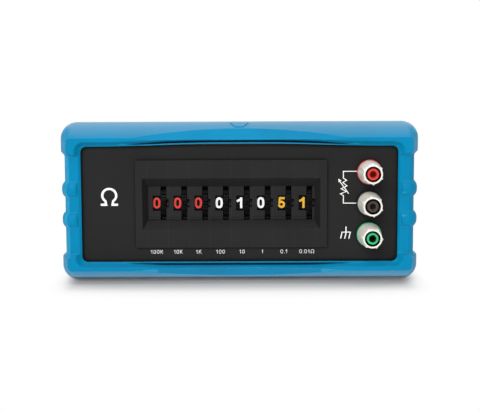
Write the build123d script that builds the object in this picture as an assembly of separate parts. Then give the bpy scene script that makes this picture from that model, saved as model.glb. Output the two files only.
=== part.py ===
from build123d import *
import math
import os

# Resistance decade box on a bench: a two-part case in a rubber boot, a panel with eight thumbwheel
# switches side by side, and three binding posts. Lengths are in mm. X runs to the right of someone
# who faces the panel, Y to the rear and Z up, from the middle of the boot's flat underside.

# Case: two half shells that hold a panel at each end
CASE_WIDTH = 202.0
CASE_HEIGHT = 81.0
CASE_DEPTH = 120.0
CASE_CORNER = 6.0
CASE_WALL = 2.5
CASE_LIP = 1.5
PANEL_OVERLAP = 2.0
PANEL_THICKNESS = 2.0
PANEL_PLAY = 0.2
RIB_THICKNESS = 1.5
RIB_REACH = 3.5
POST_RADIUS = 4.0
POST_SIDE_INSET = 6.5
POST_END_INSET = 20.0

# Boot: a rubber sleeve with corner bumpers, grip ribs and a thin lip round each panel
BOOT_FIT = 0.1
BOOT_SIDE_WALL = 4.9
BOOT_FLOOR_WALL = 7.6
BOOT_CROWN_WALL = 8.9
BOOT_REAR_WALL = 5.4
BOOT_RIM = 4.9
BOOT_CORNER = 10.0
BUMPER_PROUD = 3.5
BUMPER_HEIGHT = 15.5
BUMPER_STEP = 3.0
SIDE_RECESS = 2.7
SIDE_BEVEL = 3.6
BEVEL_SIDE = 5.5
BEVEL_DEPTH = 15.0
RING_CORNER = 3.0
RING_FLAT = 2.3
LIP_REACH = 1.0
LIP_CORNER = 3.5
LIP_FLAT = 0.8
INNER_BEVEL_SIDE = 3.6
INNER_BEVEL_TOP = 2.0
INNER_BEVEL_DEPTH = 3.2
NUB_HEIGHT = 9.2
NUB_SPACING = 18.4
NUB_PROUD = 1.9
NUB_FRONT = 1.9
NUB_LIP_GAP = 1.2
NUB_ROUND = 3.4
NUB_BEND = 8.0
SCOOP_HALF_CHORD = 65.0
SCOOP_RING_SETBACK = 3.2
SCOOP_LEAN = 1.0
SCOOP_FOOT = 4.5
PAD_WIDTH = 13.0
PAD_NARROW = 5.5
PAD_HEIGHT = 0.6
PAD_START = 10.8
PAD_END = 16.4

# Thumbwheel switch bank
MODULE_COUNT = 8
MODULE_PITCH = 12.7
BANK_CENTRE = -5.0
CHEEK_WIDTH = 7.05
CHEEK_BODY = 4.0
FLANGE_HEIGHT = 53.0
FLANGE_THICKNESS = 1.8
FLANGE_ROUND = 0.8
BODY_HEIGHT = 46.6
BODY_DEPTH = 41.0
MODULE_WALL = 1.5
CUTOUT_CLEARANCE = 0.2
FUNNEL_HEIGHT = 31.3
FUNNEL_THROAT = 20.8
FUNNEL_SIDE = 3.1
FUNNEL_DEPTH = 5.5
FACE_DEPTH = 6.0
WINDOW_HEIGHT = 9.3
BEAD_HEIGHT = 0.8
BEAD_RISE = 0.7
WALL_NOTCH_RADIUS = 2.6
POCKET_FRONT = 8.0
POCKET_ROD_GAP = 1.0

# Thumbwheel, its axle, wafer and wiper
AXLE_DEPTH = 20.4
AXLE_RADIUS = 2.0
RUNNING_FIT = 0.06
SLIP_FIT = 0.05
AXLE_SEAT_DEPTH = 1.0
DIGITS = 10
DRUM_APOTHEM = 13.0
DRUM_RIM = 1.8
DRUM_HUB_RADIUS = 3.6
DRUM_WEB = 1.0
DRUM_CLEARANCE = 0.43
TEETH = 20
TOOTH_RADIUS = 15.0
TOOTH_DEPTH = 1.2
TOOTH_GAP_TOP = 2.8
TOOTH_GAP_FLOOR = 1.3
DISC_WIDTH = 2.5
DISC_CLEARANCE = 0.4
SIDE_CLEARANCE = 0.5
SLOT_LEFT_STEP = 0.6
WAFER_THICKNESS = 1.6
WAFER_GAP = 0.1
WAFER_PLAY = 0.2
WAFER_DEPTH = 50.0
WIPER_GAP = 1.2
WIPER_THICKNESS = 0.4
WIPER_HUB_RADIUS = 5.0
WIPER_ARM_WIDTH = 2.4
WIPER_REACH = 11.2
WIPER_TIP_RADIUS = 0.7
WIPER_TIP_GAP = 0.05
SPRING_THICKNESS = 0.4
SPRING_WIDTH = 2.1
SPRING_GAP = 0.8
SPRING_NOSE_CLEARANCE = 0.3
SPRING_ANCHOR = 3.0

# Parts that hold and wire the bank
ROD_RADIUS = 1.5
ROD_DEPTH = 24.0
ROD_END = 0.6
ROD_NUT_ACROSS = 5.5
ROD_NUT_THICKNESS = 2.4
CLIP_THICKNESS = 1.0
CLIP_FOOT = 3.0
CLIP_EDGE = 2.65
CLIP_END_DEPTH = 30.0
RESISTORS_PER_WAFER = 5
RESISTOR_LENGTH = 9.0
RESISTOR_WIDTH = 3.6
RESISTOR_THICKNESS = 2.5
RESISTOR_SPACING = 6.0
RESISTOR_REAR_INSET = 3.0
LINK_RADIUS = 0.4
LINK_REAR_INSET = 1.5
LINK_EDGE_INSET = 1.65

# Binding posts
POST_EDGE_INSET = 17.0
POST_PITCH = 19.05
POST_HOLE_RADIUS = 5.0
BASE_RADIUS = 7.5
BASE_THICKNESS = 2.0
STUD_RADIUS = 3.0
STUD_REAR = 13.0
STUD_SHOULDER = 16.0
STUD_NOSE_RADIUS = 2.6
STUD_FRONT = 19.0
SOCKET_RADIUS = 2.0
SOCKET_DEPTH = 13.0
WIRE_HOLE_RADIUS = 1.2
WIRE_HOLE_RISE = 2.2
TIP_RADIUS = 3.4
TIP_BORE_RADIUS = 2.3
TIP_FACE = 0.5
CAP_LIFT = 0.1
CAP_LENGTH = 17.9
CAP_BASE_RADIUS = 7.25
CAP_FRONT_RADIUS = 5.7
CAP_RECESS_RADIUS = 4.65
CAP_RIBS = 6
CAP_RIB_WIDTH = 1.2
CAP_RIB_RISE = 0.5
CAP_RIB_INSET = 1.6
CAP_FRONT_ROUND = 0.4
INSERT_RADIUS = 4.4
INSERT_LENGTH = 6.0
WASHER_RADIUS = 5.4
WASHER_THICKNESS = 1.0
WASHER_PLAY = 0.2
WASHER_GAP = 0.05
BUSH_RADIUS = 7.0
BUSH_THICKNESS = 2.5
POST_NUT_ACROSS = 10.0
POST_NUT_THICKNESS = 2.5
TAG_RADIUS = 4.5
TAG_THICKNESS = 0.6
TAG_REACH = 10.0
TAG_WIDTH = 3.0
LEAD_RADIUS = 0.8
LEAD_SAG_BEHIND = 19.0
LEAD_CLIP_INSET = 2.0

# Case screws
SCREW_RADIUS = 1.5
SCREW_HEAD_RADIUS = 2.8
SCREW_HEAD_HEIGHT = 2.0
SCREW_GRIP = 3.5
SCREW_BITE = 12.0
SCREW_CLEARANCE = 0.3

# Derived places
MID = BOOT_FLOOR_WALL + BOOT_FIT + CASE_HEIGHT / 2
HALF_WIDTH = CASE_WIDTH / 2 + BOOT_FIT + BOOT_SIDE_WALL
BUMPER_HALF_WIDTH = HALF_WIDTH + BUMPER_PROUD
HALF_DEPTH = CASE_DEPTH / 2 + BOOT_FIT + BOOT_RIM
OPENING_HALF_WIDTH = CASE_WIDTH / 2 - CASE_WALL - PANEL_OVERLAP - LIP_REACH
OPENING_HALF_HEIGHT = CASE_HEIGHT / 2 - CASE_WALL - PANEL_OVERLAP - LIP_REACH
RING_HALF_HEIGHT = OPENING_HALF_HEIGHT + LIP_FLAT + INNER_BEVEL_TOP + RING_FLAT
CROWN_LIFT = BOOT_CROWN_WALL - BOOT_FLOOR_WALL
REAR_LIFT = BOOT_REAR_WALL - BOOT_FLOOR_WALL
CROWN_RISE = MID + CROWN_LIFT - RING_HALF_HEIGHT
INNER_HALF_WIDTH = CASE_WIDTH / 2 - CASE_WALL
INNER_HALF_HEIGHT = CASE_HEIGHT / 2 - CASE_WALL
INNER_CORNER = CASE_CORNER - CASE_WALL
PANEL_FACE = -CASE_DEPTH / 2 + CASE_LIP
PANEL_REAR = PANEL_FACE + PANEL_THICKNESS
FLANGE_FRONT = PANEL_FACE - FLANGE_THICKNESS
HOUSING_REAR = FLANGE_FRONT + BODY_DEPTH
BANK_LEFT = BANK_CENTRE - MODULE_COUNT * MODULE_PITCH / 2
BANK_RIGHT = BANK_LEFT + MODULE_COUNT * MODULE_PITCH
AXLE_Y = FLANGE_FRONT + AXLE_DEPTH
ROD_Y = FLANGE_FRONT + ROD_DEPTH
WAFER_RIGHT = WAFER_GAP + WAFER_THICKNESS
DRUM_LEFT = WAFER_RIGHT + WIPER_GAP
WALL_LEFT = MODULE_PITCH - MODULE_WALL
DISC_RIGHT = WALL_LEFT - SIDE_CLEARANCE
DRUM_RIGHT = DISC_RIGHT - DISC_WIDTH
DRUM_WIDTH = DRUM_RIGHT - DRUM_LEFT
SLOT_LEFT = DRUM_RIGHT - SLOT_LEFT_STEP
DRUM_CORNER_RADIUS = DRUM_APOTHEM / math.cos(math.pi / DIGITS)
DRUM_CHAMBER = DRUM_CORNER_RADIUS + DRUM_CLEARANCE
DISC_CHAMBER = TOOTH_RADIUS + DISC_CLEARANCE
ROD_HEIGHT = (DISC_CHAMBER + BODY_HEIGHT / 2) / 2
POCKET_HALF_HEIGHT = ROD_HEIGHT - ROD_RADIUS - POCKET_ROD_GAP
WAFER_HALF_HEIGHT = POCKET_HALF_HEIGHT - WAFER_PLAY
WAFER_FRONT = FLANGE_FRONT + POCKET_FRONT + WAFER_PLAY
WAFER_REAR = WAFER_FRONT + WAFER_DEPTH
SPRING_Y = AXLE_Y + TOOTH_RADIUS + SPRING_GAP
POST_X = OPENING_HALF_WIDTH - POST_EDGE_INSET
SOCKET_FLOOR = STUD_FRONT - SOCKET_DEPTH
CAP_START = BASE_THICKNESS + CAP_LIFT
CAP_END = CAP_START + CAP_LENGTH
WASHER_END = CAP_START + WASHER_GAP + WASHER_THICKNESS
INSERT_START = WASHER_END + WASHER_GAP
INSERT_END = INSERT_START + INSERT_LENGTH
POST_COLOURS = ("red", "black", "green")
CAP_TURNS = (4.0, 9.0, 25.0)


def block(x, y, z):
    """A box between two values of x, of y and of z."""
    middle = Pos((x[0] + x[1]) / 2, (y[0] + y[1]) / 2, (z[0] + z[1]) / 2)
    return middle * Box(x[1] - x[0], y[1] - y[0], z[1] - z[0])


def mid_block(x, y, half_height):
    """A box between two values of x and of y, centred on the middle height."""
    return block(x, y, (MID - half_height, MID + half_height))


def front_plane(y):
    """A plane that faces the rear at depth y, with the middle height as its origin."""
    return Plane((0, y, MID), x_dir=(1, 0, 0), z_dir=(0, -1, 0))


def frame_face(half_width, half_height, corner, y):
    """A rounded rectangle across the box at depth y."""
    return front_plane(y) * RectangleRounded(2 * half_width, 2 * half_height, corner)


def frame_prism(half_width, half_height, corner, y0, y1):
    """A rounded bar that runs from y0 back to y1."""
    return extrude(frame_face(half_width, half_height, corner, y1), y1 - y0)


def disc_x(radius, x0, x1, y=AXLE_Y, z=MID):
    """A round bar along X."""
    return Pos((x0 + x1) / 2, y, z) * Rot(0, 90, 0) * Cylinder(radius, x1 - x0)


def disc_y(radius, y0, y1, x, z):
    """A round bar along Y."""
    return Pos(x, (y0 + y1) / 2, z) * Rot(90, 0, 0) * Cylinder(radius, y1 - y0)


def prism_x(points, x0, x1):
    """A bar along X whose outline is given as (y, z) points."""
    outline = make_face(Polyline(*points, close=True))
    return extrude(Plane.YZ.offset(x0) * outline, x1 - x0)


def hexagon_x(across, x0, x1, y, z):
    """A six-sided bar along X, by its size across flats."""
    outline = RegularPolygon(across / 2, 6, major_radius=False)
    return extrude(Plane.YZ.offset(x0) * (Pos(y, z) * outline), x1 - x0)


def hexagon_y(across, y0, y1, x, z):
    """A six-sided bar along Y, by its size across flats."""
    outline = RegularPolygon(across / 2, 6, major_radius=False)
    plane = Plane((x, y1, z), x_dir=(1, 0, 0), z_dir=(0, -1, 0))
    return extrude(plane * outline, y1 - y0)


def boot_blank():
    """The boot's outside: bevelled ends, a top that falls to the rear, and recessed side members."""
    end_width = BUMPER_HALF_WIDTH - BEVEL_SIDE
    shoulder = HALF_DEPTH - BEVEL_DEPTH
    sections = [
        frame_face(end_width, RING_HALF_HEIGHT, RING_CORNER, -HALF_DEPTH),
        shoulder_face(-shoulder, CROWN_LIFT),
        shoulder_face(shoulder, REAR_LIFT),
        frame_face(end_width, RING_HALF_HEIGHT, RING_CORNER, HALF_DEPTH),
    ]
    body = loft(sections, ruled=True)
    for side in (-1, 1):
        body -= side_cutter(side)
    return body


def shoulder_face(y, lift):
    """The boot's full outline at depth y, whose top stands higher than its floor's mirror image."""
    outline = Pos(0, lift / 2) * RectangleRounded(2 * BUMPER_HALF_WIDTH, 2 * MID + lift, BOOT_CORNER)
    return front_plane(y) * outline


def side_cutter(side):
    """What lies outside a recessed side member, with slopes up to the two bumpers."""
    inner = OPENING_HALF_WIDTH
    member = [
        (HALF_WIDTH - SIDE_BEVEL, HALF_DEPTH - SIDE_RECESS),
        (HALF_WIDTH, HALF_DEPTH - SIDE_RECESS - SIDE_BEVEL),
    ]
    bumper = [
        (BUMPER_HALF_WIDTH - BEVEL_SIDE, HALF_DEPTH),
        (BUMPER_HALF_WIDTH, HALF_DEPTH - BEVEL_DEPTH),
    ]
    beyond = 1.25
    past = [
        tuple(m + beyond * (b - m) for m, b in zip(near, far)) for near, far in zip(member, bumper)
    ]
    half = MID - BUMPER_HEIGHT - BUMPER_STEP
    far_half = half + beyond * BUMPER_STEP

    def outline(points, height):
        half_ring = [(inner, points[0][1]), *points]
        ring = half_ring + [(x, -y) for x, y in reversed(half_ring)]
        return Plane.XY.offset(height) * make_face(Polyline(*[(side * x, y) for x, y in ring], close=True))

    kept = extrude(outline(member, MID - half), 2 * half)
    kept += loft([outline(member, MID + half), outline(past, MID + far_half)], ruled=True)
    kept += loft([outline(past, MID - far_half), outline(member, MID - half)], ruled=True)
    xs = sorted((side * inner, side * (BUMPER_HALF_WIDTH + 1)))
    return mid_block(xs, (-HALF_DEPTH - 1, HALF_DEPTH + 1), far_half) - kept


def scoop_cutter():
    """A wide shallow scoop that turns a long member's front bevel into a crescent."""
    lean = math.atan(SCOOP_LEAN)
    depth = SCOOP_RING_SETBACK * math.cos(lean)
    radius = (SCOOP_HALF_CHORD**2 + depth**2) / (2 * depth)
    reach = 1.5 * SCOOP_HALF_CHORD
    rise = radius - math.sqrt(radius**2 - reach**2)
    outline = [
        ThreePointArc((-reach, rise), (0, 0), (reach, rise)),
        Polyline((reach, rise), (reach, 2 * rise), (-reach, 2 * rise), (-reach, rise)),
    ]
    foot = Plane(
        origin=(0, -HALF_DEPTH + SCOOP_RING_SETBACK, MID + RING_HALF_HEIGHT),
        x_dir=(-1, 0, 0),
        z_dir=(0, math.sin(lean), math.cos(lean)),
    )
    face = foot * make_face(outline)
    return extrude(face, BEVEL_DEPTH) + extrude(face, -SCOOP_FOOT)


def top_pad():
    """A low raised pad on the top's front slope, which narrows towards the panel."""
    along = math.hypot(BEVEL_DEPTH, CROWN_RISE)
    slope = Plane(
        origin=(0, -HALF_DEPTH, MID + RING_HALF_HEIGHT),
        x_dir=(1, 0, 0),
        z_dir=(0, -CROWN_RISE / along, BEVEL_DEPTH / along),
    )
    outline = Polyline(
        (-PAD_NARROW / 2, PAD_START),
        (PAD_NARROW / 2, PAD_START),
        (PAD_WIDTH / 2, PAD_END),
        (-PAD_WIDTH / 2, PAD_END),
        close=True,
    )
    return extrude(slope.offset(-PAD_HEIGHT) * make_face(outline), 2 * PAD_HEIGHT)


def boot_nub(side, height):
    """A rounded grip rib that runs along a side and wraps onto both ends."""
    outer = HALF_WIDTH + NUB_PROUD
    inner = OPENING_HALF_WIDTH + LIP_FLAT + NUB_LIP_GAP
    reach = HALF_DEPTH - SIDE_RECESS + NUB_FRONT
    xs = sorted((side * inner, side * outer))
    rib = block(xs, (-reach, reach), (height - NUB_HEIGHT / 2, height + NUB_HEIGHT / 2))
    bends = rib.edges().filter_by(Axis.Z).sort_by(Axis.X)
    rib = fillet(bends[-2:] if side > 0 else bends[:2], NUB_BEND)
    rounds = [e for e in rib.edges() if abs(e.center().Z - height) > NUB_HEIGHT / 2 - 0.01]
    outside = [e for e in rounds if abs(e.center().X) > inner + 0.01]
    return fillet(outside, NUB_ROUND)


def boot():
    """The rubber boot, made so that the case fills it."""
    body = boot_blank()
    for end in (-1, 1):
        slope = [
            frame_face(
                OPENING_HALF_WIDTH + LIP_FLAT + INNER_BEVEL_SIDE,
                OPENING_HALF_HEIGHT + LIP_FLAT + INNER_BEVEL_TOP,
                LIP_CORNER + INNER_BEVEL_TOP,
                end * HALF_DEPTH,
            ),
            frame_face(
                OPENING_HALF_WIDTH + LIP_FLAT,
                OPENING_HALF_HEIGHT + LIP_FLAT,
                LIP_CORNER,
                end * (HALF_DEPTH - INNER_BEVEL_DEPTH),
            ),
        ]
        body -= loft(slope, ruled=True)
    cutter = scoop_cutter()
    upside_down = Pos(0, 0, MID) * Rot(0, 180, 0) * Pos(0, 0, -MID)
    turned = Rot(0, 0, 180)
    for scoop in (cutter, upside_down * cutter, turned * cutter, turned * upside_down * cutter):
        body -= scoop
    for side in (-1, 1):
        for step in (-0.5, 0.5):
            body += boot_nub(side, MID + step * NUB_SPACING)
    body += top_pad()
    cavity_end = CASE_DEPTH / 2 + BOOT_FIT
    body -= frame_prism(
        CASE_WIDTH / 2 + BOOT_FIT,
        CASE_HEIGHT / 2 + BOOT_FIT,
        CASE_CORNER + BOOT_FIT,
        -cavity_end,
        cavity_end,
    )
    through = HALF_DEPTH + 1
    body -= frame_prism(OPENING_HALF_WIDTH, OPENING_HALF_HEIGHT, LIP_CORNER, -through, through)
    return body


def case_tube():
    """Both case shells as one, before they are split at the middle height."""
    end = CASE_DEPTH / 2
    groove = end - CASE_LIP
    body = frame_prism(CASE_WIDTH / 2, CASE_HEIGHT / 2, CASE_CORNER, -end, end)
    body -= frame_prism(INNER_HALF_WIDTH, INNER_HALF_HEIGHT, INNER_CORNER, -groove, groove)
    lip = (INNER_HALF_WIDTH - PANEL_OVERLAP, INNER_HALF_HEIGHT - PANEL_OVERLAP, INNER_CORNER)
    body -= frame_prism(*lip, -end - 1, end + 1)
    for side in (-1, 1):
        ys = sorted((side * (groove - PANEL_THICKNESS), side * (groove - PANEL_THICKNESS - RIB_THICKNESS)))
        rib = frame_prism(INNER_HALF_WIDTH, INNER_HALF_HEIGHT, INNER_CORNER, *ys)
        rib -= frame_prism(
            INNER_HALF_WIDTH - RIB_REACH, INNER_HALF_HEIGHT - RIB_REACH, INNER_CORNER, ys[0] - 1, ys[1] + 1
        )
        body += rib
    for x, y in post_places():
        body += block_post(x, y)
    return body


def post_places():
    """Where the four screw posts stand."""
    x = INNER_HALF_WIDTH - POST_SIDE_INSET
    y = CASE_DEPTH / 2 - POST_END_INSET
    return [(-x, -y), (x, -y), (-x, y), (x, y)]


def block_post(x, y):
    """A screw post from the floor to the roof of the case."""
    return Pos(x, y, MID) * Cylinder(POST_RADIUS, CASE_HEIGHT - CASE_WALL)


def case_shells():
    """The case top and the case bottom, with the screw holes."""
    tube = case_tube()
    far = max(CASE_WIDTH, CASE_DEPTH)
    floor = MID - CASE_HEIGHT / 2
    top = tube & block((-far, far), (-far, far), (MID, MID + far))
    bottom = tube & block((-far, far), (-far, far), (MID - far, MID))
    for x, y in post_places():
        pilot = SCREW_BITE + SCREW_CLEARANCE
        top -= Pos(x, y, MID + pilot / 2) * Cylinder(SCREW_RADIUS + SLIP_FIT, pilot)
        bottom -= Pos(x, y, MID) * Cylinder(SCREW_RADIUS + SCREW_CLEARANCE, CASE_HEIGHT)
        seat = MID - SCREW_GRIP
        bottom -= Pos(x, y, (floor + seat) / 2) * Cylinder(
            SCREW_HEAD_RADIUS + SCREW_CLEARANCE, seat - floor
        )
    return top, bottom


def case_screws():
    """Four screws, set from beneath, whose heads seat deep in the bottom posts."""
    seat = MID - SCREW_GRIP
    screws = []
    for x, y in post_places():
        shank = Pos(x, y, (seat + MID + SCREW_BITE) / 2) * Cylinder(
            SCREW_RADIUS, SCREW_GRIP + SCREW_BITE
        )
        head = Pos(x, y, seat - SCREW_HEAD_HEIGHT / 2) * Cylinder(SCREW_HEAD_RADIUS, SCREW_HEAD_HEIGHT)
        slot = Pos(x, y, seat - SCREW_HEAD_HEIGHT) * Box(2 * SCREW_HEAD_RADIUS, 0.8, 1.6)
        screws.append(shank + head - slot)
    return screws


def plain_panel(y):
    """A panel sheet that the case grips in its end groove."""
    return frame_prism(
        INNER_HALF_WIDTH - PANEL_PLAY,
        INNER_HALF_HEIGHT - PANEL_PLAY,
        INNER_CORNER - PANEL_PLAY,
        y,
        y + PANEL_THICKNESS,
    )


def post_heights():
    """The middle heights of the three binding posts, from the top down."""
    return [MID + POST_PITCH, MID, MID - POST_PITCH]


def front_panel():
    """The front panel with the bank's cut-out and three round holes."""
    panel = plain_panel(PANEL_FACE)
    left = BANK_LEFT - CHEEK_BODY - CUTOUT_CLEARANCE
    right = BANK_RIGHT + CHEEK_BODY + CUTOUT_CLEARANCE
    ys = (PANEL_FACE - 1, PANEL_REAR + 1)
    panel -= mid_block((left, right), ys, BODY_HEIGHT / 2 + CUTOUT_CLEARANCE)
    for z in post_heights():
        panel -= disc_y(POST_HOLE_RADIUS, *ys, POST_X, z)
    return panel


def funnel_cutter():
    """The wide shallow funnel that leads a finger to the wheels."""
    fall = (FUNNEL_HEIGHT - FUNNEL_THROAT) / 2 / FUNNEL_DEPTH
    spread = FUNNEL_SIDE / FUNNEL_DEPTH
    half_width = MODULE_COUNT * MODULE_PITCH / 2
    lead = 1.0
    wide = front_plane(FLANGE_FRONT - lead) * Pos(BANK_CENTRE, 0) * Rectangle(
        2 * (half_width + FUNNEL_SIDE + lead * spread), FUNNEL_HEIGHT + 2 * lead * fall
    )
    narrow = front_plane(FLANGE_FRONT + FUNNEL_DEPTH) * Pos(BANK_CENTRE, 0) * Rectangle(
        2 * half_width, FUNNEL_THROAT
    )
    return loft([wide, narrow], ruled=True)


def switch_housing():
    """One switch moulding, with its left face at x = 0."""
    width = (0, MODULE_PITCH)
    far = HOUSING_REAR + 1
    body = mid_block(width, (FLANGE_FRONT, PANEL_FACE), FLANGE_HEIGHT / 2)
    body += mid_block(width, (PANEL_FACE, HOUSING_REAR), BODY_HEIGHT / 2)
    lead = 1.0
    wide = FUNNEL_HEIGHT / 2 + lead * (FUNNEL_HEIGHT - FUNNEL_THROAT) / 2 / FUNNEL_DEPTH
    throat = FUNNEL_THROAT / 2
    funnel = [
        (FLANGE_FRONT - lead, MID - wide),
        (FLANGE_FRONT + FUNNEL_DEPTH, MID - throat),
        (FLANGE_FRONT + FACE_DEPTH, MID - throat),
        (FLANGE_FRONT + FACE_DEPTH, MID + throat),
        (FLANGE_FRONT + FUNNEL_DEPTH, MID + throat),
        (FLANGE_FRONT - lead, MID + wide),
    ]
    body -= prism_x(funnel, *width)
    bead_top = MID - throat + BEAD_HEIGHT + BEAD_RISE
    body += block(
        (0, SLOT_LEFT),
        (FLANGE_FRONT + FACE_DEPTH - BEAD_RISE, FLANGE_FRONT + FACE_DEPTH),
        (bead_top - BEAD_HEIGHT, bead_top),
    )
    face = FLANGE_FRONT + FACE_DEPTH
    pocket = (FLANGE_FRONT + POCKET_FRONT, far)
    body -= mid_block((-1, DRUM_LEFT - WIPER_TIP_GAP), pocket, POCKET_HALF_HEIGHT)
    body -= disc_x(DRUM_CHAMBER, DRUM_LEFT - 0.5, DRUM_RIGHT)
    body -= disc_x(DISC_CHAMBER, DRUM_RIGHT - WIPER_TIP_GAP, WALL_LEFT)
    body -= mid_block((DRUM_LEFT - 0.5, WALL_LEFT), (AXLE_Y, far), DISC_CHAMBER)
    body -= mid_block((SLOT_LEFT, WALL_LEFT), (face - 1, AXLE_Y), throat)
    body -= mid_block((DRUM_LEFT - WIPER_TIP_GAP, SLOT_LEFT + 1), (face - 1, AXLE_Y), WINDOW_HEIGHT / 2)
    body -= disc_x(WALL_NOTCH_RADIUS, WALL_LEFT - 0.1, MODULE_PITCH + 1, face)
    body -= disc_x(AXLE_RADIUS + SLIP_FIT, WALL_LEFT - 0.1, WALL_LEFT + AXLE_SEAT_DEPTH)
    for z in (MID - ROD_HEIGHT, MID + ROD_HEIGHT):
        body -= disc_x(ROD_RADIUS + SLIP_FIT, -1, MODULE_PITCH + 1, ROD_Y, z)
    spring_middle = DISC_RIGHT - DISC_WIDTH / 2
    slot_half = SPRING_WIDTH / 2 + SLIP_FIT
    body -= block(
        (spring_middle - slot_half, spring_middle + slot_half),
        (SPRING_Y - SLIP_FIT, SPRING_Y + SPRING_THICKNESS + SLIP_FIT),
        (MID + DISC_CHAMBER - 1, MID + DISC_CHAMBER + SPRING_ANCHOR + SLIP_FIT),
    )
    return body


def end_cheek(side):
    """The end piece of the bank, left for side -1 and right for side 1."""
    edge = BANK_LEFT if side < 0 else BANK_RIGHT
    flange_x = sorted((edge, edge + side * CHEEK_WIDTH))
    body_x = sorted((edge, edge + side * CHEEK_BODY))
    cheek = mid_block(flange_x, (FLANGE_FRONT, PANEL_FACE), FLANGE_HEIGHT / 2)
    outer = cheek.edges().filter_by(Axis.Y).sort_by(Axis.X)
    cheek = fillet(outer[:2] if side < 0 else outer[-2:], FLANGE_ROUND)
    cheek += mid_block(body_x, (PANEL_FACE, HOUSING_REAR), BODY_HEIGHT / 2)
    cheek -= funnel_cutter()
    for z in (MID - ROD_HEIGHT, MID + ROD_HEIGHT):
        cheek -= disc_x(ROD_RADIUS + SLIP_FIT, body_x[0] - 1, body_x[1] + 1, ROD_Y, z)
    return cheek


def tooth_gaps():
    """The outlines of the disc's tooth gaps, as one sketch about the axle."""
    low = TOOTH_RADIUS - TOOTH_DEPTH
    lead = 0.5
    widen = (TOOTH_GAP_TOP - TOOTH_GAP_FLOOR) / TOOTH_DEPTH * lead
    gap = make_face(
        Polyline(
            (low, -TOOTH_GAP_FLOOR / 2),
            (TOOTH_RADIUS + lead, -(TOOTH_GAP_TOP + widen) / 2),
            (TOOTH_RADIUS + lead, (TOOTH_GAP_TOP + widen) / 2),
            (low, TOOTH_GAP_FLOOR / 2),
            close=True,
        )
    )
    return [Rot(0, 0, 360 / TEETH * k) * gap for k in range(TEETH)]


def thumbwheel():
    """A digit drum with a toothed disc on its right, for a housing with its left face at x = 0."""
    about_axle = Pos(AXLE_Y, MID)
    flats = Rot(0, 0, 180 / DIGITS) * RegularPolygon(DRUM_APOTHEM, DIGITS, major_radius=False)
    drum = extrude(Plane.YZ.offset(DRUM_LEFT) * (about_axle * flats), DRUM_WIDTH)
    disc_outline = Circle(TOOTH_RADIUS)
    for gap in tooth_gaps():
        disc_outline -= gap
    disc = extrude(Plane.YZ.offset(DRUM_RIGHT) * (about_axle * disc_outline), DISC_WIDTH)
    hollow = disc_x(DRUM_APOTHEM - DRUM_RIM, DRUM_LEFT - 1, DRUM_RIGHT - DRUM_WEB)
    hollow -= disc_x(DRUM_HUB_RADIUS, DRUM_LEFT - 2, DRUM_RIGHT)
    wheel = drum + disc - hollow
    return wheel - disc_x(AXLE_RADIUS + RUNNING_FIT, DRUM_LEFT - 1, DISC_RIGHT + 1)


def wiper():
    """The rotating contact on the drum's left face: a hub ring, two arms and their tips."""
    left = DRUM_LEFT - WIPER_THICKNESS
    plate = disc_x(WIPER_HUB_RADIUS, left, DRUM_LEFT)
    plate += block(
        (left, DRUM_LEFT),
        (AXLE_Y - WIPER_ARM_WIDTH / 2, AXLE_Y + WIPER_ARM_WIDTH / 2),
        (MID - WIPER_REACH, MID + WIPER_REACH),
    ) & disc_x(WIPER_REACH, left - 1, DRUM_LEFT + 1)
    for end in (-1, 1):
        z = MID + end * (WIPER_REACH - 2 * WIPER_TIP_RADIUS)
        plate += disc_x(WIPER_TIP_RADIUS, WAFER_RIGHT + WIPER_TIP_GAP, left, AXLE_Y, z)
    return plate - disc_x(AXLE_RADIUS + RUNNING_FIT, left - 2, DRUM_LEFT + 1)


def switch_wafer():
    """The contact board at the left of a housing, which reaches out behind it."""
    board = mid_block((WAFER_GAP, WAFER_RIGHT), (WAFER_FRONT, WAFER_REAR), WAFER_HALF_HEIGHT)
    return board - disc_x(AXLE_RADIUS + SLIP_FIT, -1, WAFER_RIGHT + 1)


def wheel_axle():
    """A pin from the wafer to its blind seat in the housing's right wall."""
    return disc_x(AXLE_RADIUS, WAFER_GAP, WALL_LEFT + AXLE_SEAT_DEPTH - SLIP_FIT)


def detent_spring():
    """A leaf that hangs from the housing behind the disc, with its nose in a tooth gap."""
    middle = DISC_RIGHT - DISC_WIDTH / 2
    xs = (middle - SPRING_WIDTH / 2, middle + SPRING_WIDTH / 2)
    nose_tip = AXLE_Y + TOOTH_RADIUS - TOOTH_DEPTH + SPRING_NOSE_CLEARANCE
    rise = SPRING_Y - nose_tip
    outline = [
        (SPRING_Y, MID + DISC_CHAMBER + SPRING_ANCHOR),
        (SPRING_Y, MID + rise),
        (nose_tip, MID),
        (SPRING_Y, MID - rise),
        (SPRING_Y, MID - 2 * rise),
        (SPRING_Y + SPRING_THICKNESS, MID - 2 * rise),
        (SPRING_Y + SPRING_THICKNESS, MID - rise + SPRING_THICKNESS / 2),
        (nose_tip + SPRING_THICKNESS * 1.4, MID),
        (SPRING_Y + SPRING_THICKNESS, MID + rise - SPRING_THICKNESS / 2),
        (SPRING_Y + SPRING_THICKNESS, MID + DISC_CHAMBER + SPRING_ANCHOR),
    ]
    return prism_x(outline, *xs)


def wafer_resistors():
    """The resistors that stand on one wafer, behind its housing."""
    rear = WAFER_REAR - RESISTOR_REAR_INSET
    pieces = []
    for k in range(RESISTORS_PER_WAFER):
        z = MID + (k - (RESISTORS_PER_WAFER - 1) / 2) * RESISTOR_SPACING
        pieces.append(
            block(
                (WAFER_RIGHT, WAFER_RIGHT + RESISTOR_THICKNESS),
                (rear - RESISTOR_LENGTH, rear),
                (z - RESISTOR_WIDTH / 2, z + RESISTOR_WIDTH / 2),
            )
        )
    return pieces


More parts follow.
